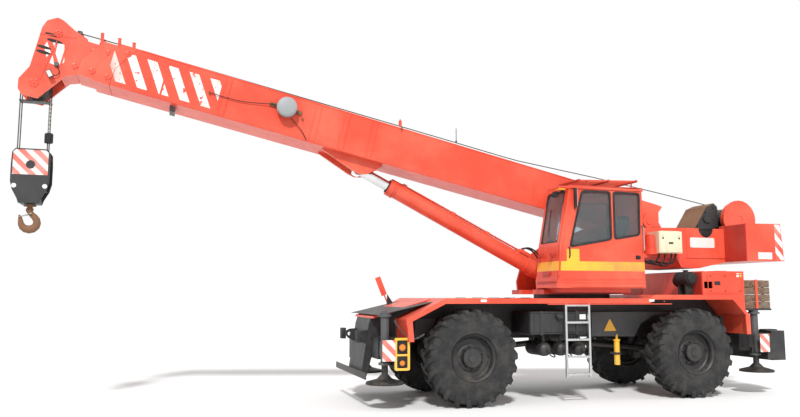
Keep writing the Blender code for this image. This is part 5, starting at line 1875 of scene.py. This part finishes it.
@made("carrier", "black rubber", 32)
def airCleaner(solid):
    # a ribbed air cleaner lying across the deck, with a domed cap and two straps
    section = [(-1.148, 0), (-1.148, 0.035), (-1.140, 0.07), (-1.128, 0.088), (-1.10, 0.092), (-1.10, 0.110),
        (-1.085, 0.112)]
    y = -1.085
    while y < -0.80:
        section += [(y + 0.008, 0.112), (y + 0.012, 0.106), (y + 0.024, 0.106), (y + 0.028, 0.112)]
        y += 0.036
    section += [(-0.76, 0.112), (-0.752, 0.10), (-0.752, 0)]
    lathe(solid, section, (axleX + 4.05, 0, 1.995), "Y", 44)
    for y in (-1.03, -0.85):
        lathe(solid, [(y, 0.10), (y, 0.1165), (y + 0.025, 0.1165), (y + 0.025, 0.10)], (axleX + 4.05, 0, 1.995),
            "Y", 44)
    for y in (-1.03, -0.85):
        block(solid, at(3.98, y - 0.005, 1.716), at(4.12, y + 0.03, 1.90), 0.006)
    stick(solid, at(4.05, -0.95, 2.09), at(4.05, -0.95, 2.135), 0.04, 20)
    stick(solid, at(4.05, -0.95, 2.13), at(4.05, -0.95, 2.139), 0.055, 20)


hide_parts("air_cleaner")
hose("airIntake", "carrier", "black rubber",
    [at(4.05, -0.76, 1.995), at(4.06, -0.66, 1.995), at(4.10, -0.60, 1.94), at(4.17, -0.58, 1.90),
    at(4.24, -0.58, 1.90)], 0.055, True, 0.03, 20)

# timber

timberLook = dict(low=(5.565, -0.998, 1.475), high=(6.121, -0.002, 1.973), rows=4, columns=2)


@made("carrier", "timber", 30)
def timberMats(solid):
    low, high = timberLook["low"], timberLook["high"]
    rows, columns = timberLook["rows"], timberLook["columns"]
    random.seed(7)
    for row in range(rows):
        for column in range(columns):
            dx = (high[0] - low[0]) / columns
            dz = (high[2] - low[2]) / rows
            inset = random.uniform(0.001, 0.006)
            start = (low[0] + dx * column + 0.003, low[1] + inset,
                low[2] + dz * row + (0.0 if row == 0 else 0.002))
            end = (low[0] + dx * (column + 1) - 0.003, high[1] - inset, low[2] + dz * (row + 1) - 0.004)
            block(solid, start, end, 0.008)


@made("carrier", "crane red")
def timberStraps(solid):
    for y in (-0.82, -0.18):
        block(solid, (5.562, y - 0.03, 1.476), (5.567, y + 0.03, 1.976), 0.001)
        block(solid, (6.119, y - 0.03, 1.476), (6.124, y + 0.03, 1.976), 0.001)
        block(solid, (5.562, y - 0.03, 1.972), (6.124, y + 0.03, 1.977), 0.001)


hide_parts("timber_mats")
meshPiece("timberStake", "carrier", "crane red",
    lambda solid: block(solid, (5.80, -1.012, 1.475), (5.85, -0.999, 1.985), 0.003))
print("hood and timber made")

# tanks and ladder


@made("carrier", "chassis black", 30)
def fuelTankRibs(solid):
    low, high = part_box("fuel_tank")
    y = -1.15
    for k in range(7):
        x = low.x + 0.09 + k * (high.x - low.x - 0.18) / 6
        block(solid, (x - 0.012, y - 0.004, low.z + 0.03), (x + 0.012, y + 0.004, high.z - 0.03), 0.003)
    for z in (low.z + 0.015, high.z - 0.03):
        block(solid, (low.x + 0.01, y - 0.007, z), (high.x - 0.01, y + 0.004, z + 0.015), 0.003)
    for x in (low.x + 0.20, high.x - 0.22):
        block(solid, (x - 0.025, y - 0.009, low.z - 0.004), (x + 0.025, y + 0.004, high.z + 0.004), 0.002)


@made("carrier", "chassis black", 32)
def fuelTankFiller(solid):
    low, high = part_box("fuel_tank")
    stick(solid, (low.x + 0.50, -1.146, high.z - 0.12), (low.x + 0.50, -1.185, high.z - 0.085), 0.045, 24)
    stick(solid, (low.x + 0.50, -1.183, high.z - 0.087), (low.x + 0.50, -1.202, high.z - 0.07), 0.053, 24)


@made("carrier", "marking white", slot="black_paint")
def fuelTankLabel(solid):
    low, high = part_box("fuel_tank")
    block(solid, (high.x - 0.17, -1.1545, high.z - 0.13), (high.x - 0.06, -1.150, high.z - 0.05), 0.001)


@made("carrier", "chassis black", 30)
def hydraulicTankDetails(solid):
    low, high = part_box("hydraulic_tank")
    y = 1.15
    for z in (low.z + 0.02, high.z - 0.035):
        block(solid, (low.x + 0.02, y - 0.004, z), (high.x - 0.02, y + 0.006, z + 0.018), 0.003)
    for x in (low.x + 0.3, low.x + 0.85, high.x - 0.3):
        block(solid, (x - 0.025, y - 0.004, low.z), (x + 0.025, y + 0.008, high.z), 0.003)
    stick(solid, (low.x + 0.55, y, high.z - 0.16), (low.x + 0.55, y + 0.028, high.z - 0.16), 0.06, 24)
    block(solid, (low.x + 1.05, y, low.z + 0.12), (low.x + 1.09, y + 0.012, high.z - 0.12), 0.004)


@made("carrier", "chassis black", 34)
def airTanks(solid):
    # three round-ended tanks lying across the frame under the fuel tank
    for x in (1.275, 1.575, 1.894):
        section = [(-1.118, 0), (-1.114, 0.035), (-1.102, 0.07), (-1.08, 0.095), (-1.05, 0.108), (-0.56, 0.108),
            (-0.53, 0.095), (-0.51, 0.05), (-0.503, 0)]
        lathe(solid, section, (axleX + x, 0, 0.85), "Y", 36)
        for y in (-1.0, -0.65):
            lathe(solid, [(y, 0.10), (y, 0.112), (y + 0.03, 0.112), (y + 0.03, 0.10)], (axleX + x, 0, 0.85),
                "Y", 36)
            block(solid, at(x - 0.02, y, 0.93), at(x + 0.02, y + 0.03, 1.081), 0.003)
        stick(solid, at(x, -1.112, 0.85), at(x, -1.135, 0.85), 0.018, 6)


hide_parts("air_tanks")
for number, x in enumerate((1.275, 1.575, 1.894)):
    hose(f"airPipe{number}", "carrier", "black rubber",
        [at(x, -1.13, 0.85), at(x, -1.155, 0.80), at(x + 0.08, -1.15, 0.73), at(x + 0.20, -1.05, 0.73),
        at(x + 0.24, -0.80, 0.78)], 0.010)


@made("carrier", "aluminium", 30)
def accessLadder(solid):
    low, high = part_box("access_ladder")
    for x in (low.x, high.x - 0.035):
        block(solid, (x, low.y, low.z), (x + 0.035, high.y, high.z), 0.005)
    for k in range(5):
        z = low.z + 0.03 + k * 0.272
        block(solid, (low.x + 0.03, low.y + 0.002, z), (high.x - 0.03, high.y - 0.002, z + 0.032), 0.005)
        for step in range(7):
            x = low.x + 0.06 + step * (high.x - low.x - 0.12) / 6
            block(solid, (x - 0.008, low.y + 0.004, z + 0.030), (x + 0.008, high.y - 0.004, z + 0.038), 0.002)
    for x in (low.x + 0.0175, high.x - 0.0175):
        stick(solid, (x, high.y - 0.01, high.z - 0.05), (x, high.y + 0.035, high.z - 0.05), 0.012, 10)


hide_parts("access_ladder")
print("tanks and ladder made")

# deck


@made("carrier", "black rubber", 30)
def deckPads(solid):
    for way in (-1, 1):
        for k in range(9):
            x = axleX + 0.62 + 0.33 * k
            if way < 0 and 1.45 < x - axleX < 2.2:
                continue
            block(solid, (x - 0.045, way * 0.95 - 0.14, 1.652), (x + 0.045, way * 0.95 + 0.14, 1.662), 0.003)


@made("carrier", "marking white")
def deckPlates(solid):
    for x in (0.16, 3.16):
        block(solid, at(x - 0.05, -1.2225, 1.60), at(x + 0.05, -1.2195, 1.64), 0.001)


@made("carrier", "crane red", 30)
def deckEdges(solid):
    for way in (-1, 1):
        block(solid, at(1.25, way * 1.214, 1.556), at(3.55, way * 1.224, 1.57), 0.003)
        block(solid, at(-0.10, way * 1.214, 1.640), at(4.0, way * 1.224, 1.655), 0.003)
        for x in (1.36, 2.45, 3.40):
            stick(solid, at(x, way * 1.218, 1.605), at(x, way * 1.228, 1.605), 0.010, 6)


@made("carrier", "chassis black")
def noseTreadPlate(solid):
    # the dark tread plate between the red edges of the sloping nose
    plate(solid, [(axleX - 1.43, 1.400), (axleX - 0.42, 1.628), (axleX - 0.42, 1.634), (axleX - 1.43, 1.406)],
        -0.95, 0.95)


@made("carrier", "chassis black", 34)
def noseLugs(solid):
    for y in (-0.55, 0.55):
        for side in (-0.045, 0.045):
            block(solid, at(-1.70, y + side - 0.012, 0.98), at(-1.62, y + side + 0.012, 1.16), 0.006)
        stick(solid, at(-1.675, y - 0.07, 1.06), at(-1.675, y + 0.07, 1.06), 0.018, 14)
    block(solid, at(-1.672, -1.05, 0.46), at(-1.655, 1.05, 0.56), 0.006)


@made("carrier", "frame grey", 50)
def noseChain(solid):
    start, end, count = at(-1.25, -1.135, 1.33), at(-0.78, -1.135, 1.12), 16
    spots = []
    for k in range(count + 1):
        w = k / count
        spots.append(start * (1 - w) + end * w + Vector((0, 0, -0.16 * math.sin(math.pi * w))))
    for k in range(count):
        a, b = spots[k], spots[k + 1]
        run = (b - a).normalized()
        side = Vector((0, 1, 0)) if k % 2 else Vector((-run.z, 0, run.x))
        for way in (-1, 1):
            stick(solid, a - run * 0.004 + side * way * 0.009, b + run * 0.004 + side * way * 0.009, 0.0042, 6)


# lamps and signs on the outriggers


@made("carrier", "marking yellow", 30)
def frontLampFrame(solid):
    outline = [(axleX - 1.245, 0.59), (axleX - 1.01, 0.59), (axleX - 1.01, 1.07), (axleX - 1.245, 1.07)]
    collar(solid, grownOutline(outline, 0.0, 0.03), grownOutline(outline, -0.035, 0.02), -1.145, -1.115)
    block(solid, at(-1.248, -1.14, 0.80), at(-1.008, -1.12, 0.83), 0.004)


@made("carrier", "black rubber", 32)
def frontLampBack(solid):
    block(solid, at(-1.235, -1.128, 0.605), at(-1.02, -1.112, 1.055), 0.006)
    for z, radius in ((0.70, 0.055), (0.93, 0.065)):
        lathe(solid, [(-1.155, radius - 0.012), (-1.155, radius), (-1.12, radius + 0.004),
            (-1.12, radius - 0.012)], (axleX - 1.128, 0, z), "Y", 28)


@made("carrier", "lamp amber", 40)
def frontLampLens(solid):
    for z, radius in ((0.70, 0.045), (0.93, 0.055)):
        lathe(solid, [(-1.152, 0), (-1.148, radius * 0.7), (-1.142, radius), (-1.13, radius), (-1.13, 0)],
            (axleX - 1.128, 0, z), "Y", 28)


@made("carrier", "chassis black", 30)
def rearLampBox(solid):
    block(solid, at(5.68, -0.95, 0.59), at(5.93, -0.78, 1.11), 0.012)
    for z in (0.70, 0.85, 1.0):
        block(solid, at(5.925, -0.93, z - 0.055), at(5.935, -0.80, z + 0.055), 0.004)
    block(solid, at(5.56, -0.99, 0.90), at(5.70, -0.80, 0.96), 0.006)


def signShape(x, way):
    def build(solid):
        points = [(x - 0.10, 0.73), (x + 0.10, 0.73), (x + 0.10, 1.04), (x - 0.10, 1.04)]
        plate(solid, grownOutline(points, 0.0, 0.012), way * 1.156, way * 1.160)

    return build


def signBack(x, way):
    def build(solid):
        block(solid, (x - 0.08, way * 1.118, 0.76), (x + 0.08, way * 1.156, 1.01), 0.004)

    return build


def jackDetails(x, way):
    def build(solid):
        y = way * 0.93
        for z in (0.66, 1.38):
            lathe(solid, [(z, 0.085), (z, 0.098), (z + 0.035, 0.098), (z + 0.035, 0.085)], (x, y, 0), "Z", 28)
        stick(solid, (x, y, 1.41), (x, y, 1.445), 0.075, 28)
        stick(solid, (x, y, 1.44), (x, y, 1.462), 0.035, 6)

    return build


def floatDetails(x, way):
    def build(solid):
        y = way * 0.93
        lathe(solid, [(0.378, 0), (0.378, 0.287), (0.392, 0.289), (0.398, 0.27), (0.402, 0.20), (0.45, 0.10),
            (0.50, 0.075), (0.50, 0)], (x, y, 0), "Z", 40)
        for k in range(8):
            turn = 2 * math.pi * (k + 0.5) / 8
            outward = Vector((math.cos(turn), math.sin(turn), 0))
            stick(solid, Vector((x, y, 0.405)) + outward * 0.07, Vector((x, y, 0.398)) + outward * 0.25, 0.010,
                6)

    return build


# where each jack stands along X, in world metres
jackX = dict(front_left=-0.9867, front_right=-0.8167, rear_left=5.8083, rear_right=5.6383)
for corner, x in jackX.items():
    way = sides[corner.split("_")[1]]
    name = corner.title().replace("_", "")
    meshPiece(f"sign{name}", f"{corner}_beam", "red white bars", signShape(x, way))
    meshPiece(f"signBack{name}", f"{corner}_beam", "chassis black", signBack(x, way), 30)
    meshPiece(f"jackRings{name}", f"{corner}_beam", "frame grey", jackDetails(x, way), 32)
    meshPiece(f"floatRibs{name}", f"{corner}_jack", "chassis black", floatDetails(x, way), 34)


@made("carrier", "crane red", 30)
def frontMarker(solid):
    foot, top = at(-0.76, 0.9, 1.50), at(-0.97, 0.9, 2.02)
    stick(solid, foot, top, 0.012, 10)
    run = (top - foot).normalized()
    outline = []
    for t, off in ((0.22, -0.05), (0.56, -0.05), (0.56, 0.05), (0.22, 0.05)):
        spot = foot + run * t + Vector((run.z, 0, -run.x)) * off
        outline.append((spot.x, spot.z))
    plate(solid, outline, 0.894, 0.906)


@made("carrier", "chassis black", 30)
def frontMarkerFoot(solid):
    block(solid, at(-0.86, 0.84, 1.50), at(-0.62, 0.96, 1.535), 0.006)
    plate(solid, [(axleX - 0.80, 1.53), (axleX - 0.66, 1.53), (axleX - 0.79, 1.72)], 0.888, 0.912)


print("lamps and signs made")

# frame details


@made("carrier", "frame grey", 30)
def archPlates(solid):
    # rubbing plates bolted to the frame above each axle, seen through the wheel arches
    arches = (
        [(2.39, 1.02), (2.39, 1.42), (3.45, 1.42), (4.035, 1.41), (3.62, 1.36), (3.35, 1.22), (3.22, 1.0)],
        [(-0.80, 1.03), (-0.70, 1.33), (-0.36, 1.33), (-0.42, 1.20), (-0.52, 1.03)],
    )
    for way in (-1, 1):
        for points, face in zip(arches, (0.60, 0.485)):
            plate(solid, [(axleX + a, b) for a, b in points], way * face, way * (face + 0.012))
            for a, b in points[:3]:
                stick(solid, at(a + 0.05, way * (face + 0.01), b - 0.04),
                    at(a + 0.05, way * (face + 0.022), b - 0.04), 0.014, 6)
        for x in (2.5, 3.3):
            block(solid, at(x - 0.03, way * 0.455, 1.18), at(x + 0.03, way * 0.602, 1.26), 0.006)


@made("carrier", "marking yellow")
def archSign(solid):
    points = [(axleX + 2.62, 1.10), (axleX + 2.86, 1.10), (axleX + 2.74, 1.31)]
    plate(solid, grownOutline(points, 0.0, 0.02), -0.6155, -0.6115)


@made("carrier", "marking yellow", 34)
def brakeCylinder(solid):
    stick(solid, at(2.87, -0.60, 0.53), at(2.87, -0.60, 0.955), 0.048, 20)
    stick(solid, at(2.87, -0.60, 0.945), at(2.87, -0.60, 1.04), 0.022, 14)
    stick(solid, at(2.87, -0.60, 0.93), at(2.87, -0.60, 0.96), 0.058, 20)


meshPiece("brakeCylinderClamp", "carrier", "chassis black",
    lambda solid: block(solid, at(2.82, -0.65, 0.70), at(2.92, -0.455, 0.74), 0.004))


@made("carrier", "chassis black", 30)
def frameBolts(solid):
    for way in (-1, 1):
        for k in range(16):
            x = axleX - 0.55 + 0.36 * k
            stick(solid, (x, way * 0.458, 1.09), (x, way * 0.474, 1.09), 0.013, 6)
        block(solid, (-0.65, way * 0.456, 1.008), (5.50, way * 0.472, 1.028), 0.003)


@made("carrier", "chassis black", 34)
def axleHousings(solid):
    for x in (0.0, 4.015):
        lathe(solid, [(-0.20, 0), (-0.20, 0.10), (-0.12, 0.19), (0.12, 0.19), (0.20, 0.10), (0.20, 0)],
            (axleX + x, 0, 0.745), "X", 36)
        for way in (-1, 1):
            for off in (-0.17, 0.17):
                stick(solid, at(x + off, way * 0.40, 0.86), at(x + off, way * 0.40, 1.02), 0.06, 20)
        for k in range(10):
            turn = 2 * math.pi * k / 10
            stick(solid, at(x - 0.13, 0.165 * math.cos(turn), 0.745 + 0.165 * math.sin(turn)),
                at(x - 0.115, 0.165 * math.cos(turn), 0.745 + 0.165 * math.sin(turn)), 0.012, 6)


@made("carrier", "cast iron", 34)
def driveShafts(solid):
    stick(solid, at(0.18, 0, 0.76), at(1.7, 0, 0.90), 0.05, 20)
    stick(solid, at(2.3, 0, 0.90), at(3.84, 0, 0.76), 0.05, 20)
    for x, z in ((0.22, 0.763), (1.62, 0.893), (2.38, 0.893), (3.80, 0.763)):
        stick(solid, at(x - 0.02, 0, z), at(x + 0.02, 0, z), 0.085, 24)
    block(solid, at(1.64, -0.30, 0.76), at(2.36, 0.30, 1.02), 0.05)


for number, (y, x0, x1) in enumerate(((-0.52, 2.42, 3.35), (-0.50, 2.45, 3.30), (-0.475, -0.64, -0.52),
        (0.52, 2.42, 3.35))):
    hose(
        f"frameHose{number}", "carrier", "black rubber",
            [at(x0, y, 1.25), at(x0 + (x1 - x0) * 0.25, y - 0.02, 0.93 + 0.02 * number),
            at(x0 + (x1 - x0) * 0.6, y - 0.03, 0.98), at(x1, y, 1.20)], 0.013
    )
for end, x in (("Front", -0.9), ("Rear", 5.55)):
    for side, way in sides.items():
        hose(f"outriggerHose{end}{side.title()}", "carrier", "black rubber",
            [at(x, way * 0.70, 1.44), at(x + 0.10, way * 0.74, 1.30), at(x + 0.12, way * 0.66, 1.10),
            at(x + 0.05, way * 0.50, 1.02)], 0.013)
print("frame details made")

# stage, lamps and camera

stageSettings = dict(floor=(0.86, 0.86, 0.855), key=3.1, fill=0.55, sky=0.62)
cameraSettings = dict(spot=(-4.0567, -11.97, 1.70), lens=33.66, yaw=16.68, pitch=6.63, roll=0.04)


def stageParts():
    material, tree, shader = newMaterial("studio floor")
    shader.inputs["Base Color"].default_value = (*stageSettings["floor"], 1)
    shader.inputs["Roughness"].default_value = 0.9
    mesh = seedMesh(lambda solid: block(solid, (-60, -60, -0.06), (60, 90, -0.001)))
    floor = bpy.data.objects.new("studioFloor", mesh)
    mesh.materials.append(material)
    addToScene(floor)
    world = bpy.data.worlds.new("studio")
    bpy.context.scene.world = world
    world.use_nodes = True
    tree = world.node_tree
    sky = tree.nodes["Background"]
    path = tree.nodes.new("ShaderNodeLightPath")
    seen = maths(tree, "MAXIMUM", path.outputs["Is Camera Ray"], path.outputs["Is Glossy Ray"])
    seen = maths(tree, "MAXIMUM", seen, path.outputs["Is Transmission Ray"])
    sky.inputs["Color"].default_value = (1, 1, 1, 1)
    tree.links.new(ramp(tree, seen, 0, 1, stageSettings["sky"], 1.0), sky.inputs["Strength"])


def lamp(name, energy, turn, size):
    light = bpy.data.lights.new(name, "SUN")
    light.energy = energy
    light.angle = math.radians(size)
    holder = bpy.data.objects.new(name, light)
    holder.rotation_euler = [math.radians(value) for value in turn]
    addToScene(holder)


def cameraPart():
    camera = bpy.data.cameras.new("camera")
    camera.lens = cameraSettings["lens"]
    camera.sensor_width = 36
    camera.clip_end = 300
    holder = bpy.data.objects.new("camera", camera)
    turn = Matrix.Rotation(-math.radians(cameraSettings["yaw"]), 4,
        "Z") @ Matrix.Rotation(math.radians(90 + cameraSettings["pitch"]), 4, "X")
    turn = turn @ Matrix.Rotation(math.radians(cameraSettings["roll"]), 4, "Z")
    holder.matrix_world = shift(Vector(cameraSettings["spot"])) @ turn
    addToScene(holder)
    bpy.context.scene.camera = holder


stageParts()
lamp("sun", stageSettings["key"], (48, 8, -28), 6)
lamp("fill", stageSettings["fill"], (62, 0, 70), 30)
cameraPart()
bpy.context.scene.view_settings.view_transform = "Standard"

print("stage, lamps and camera set")
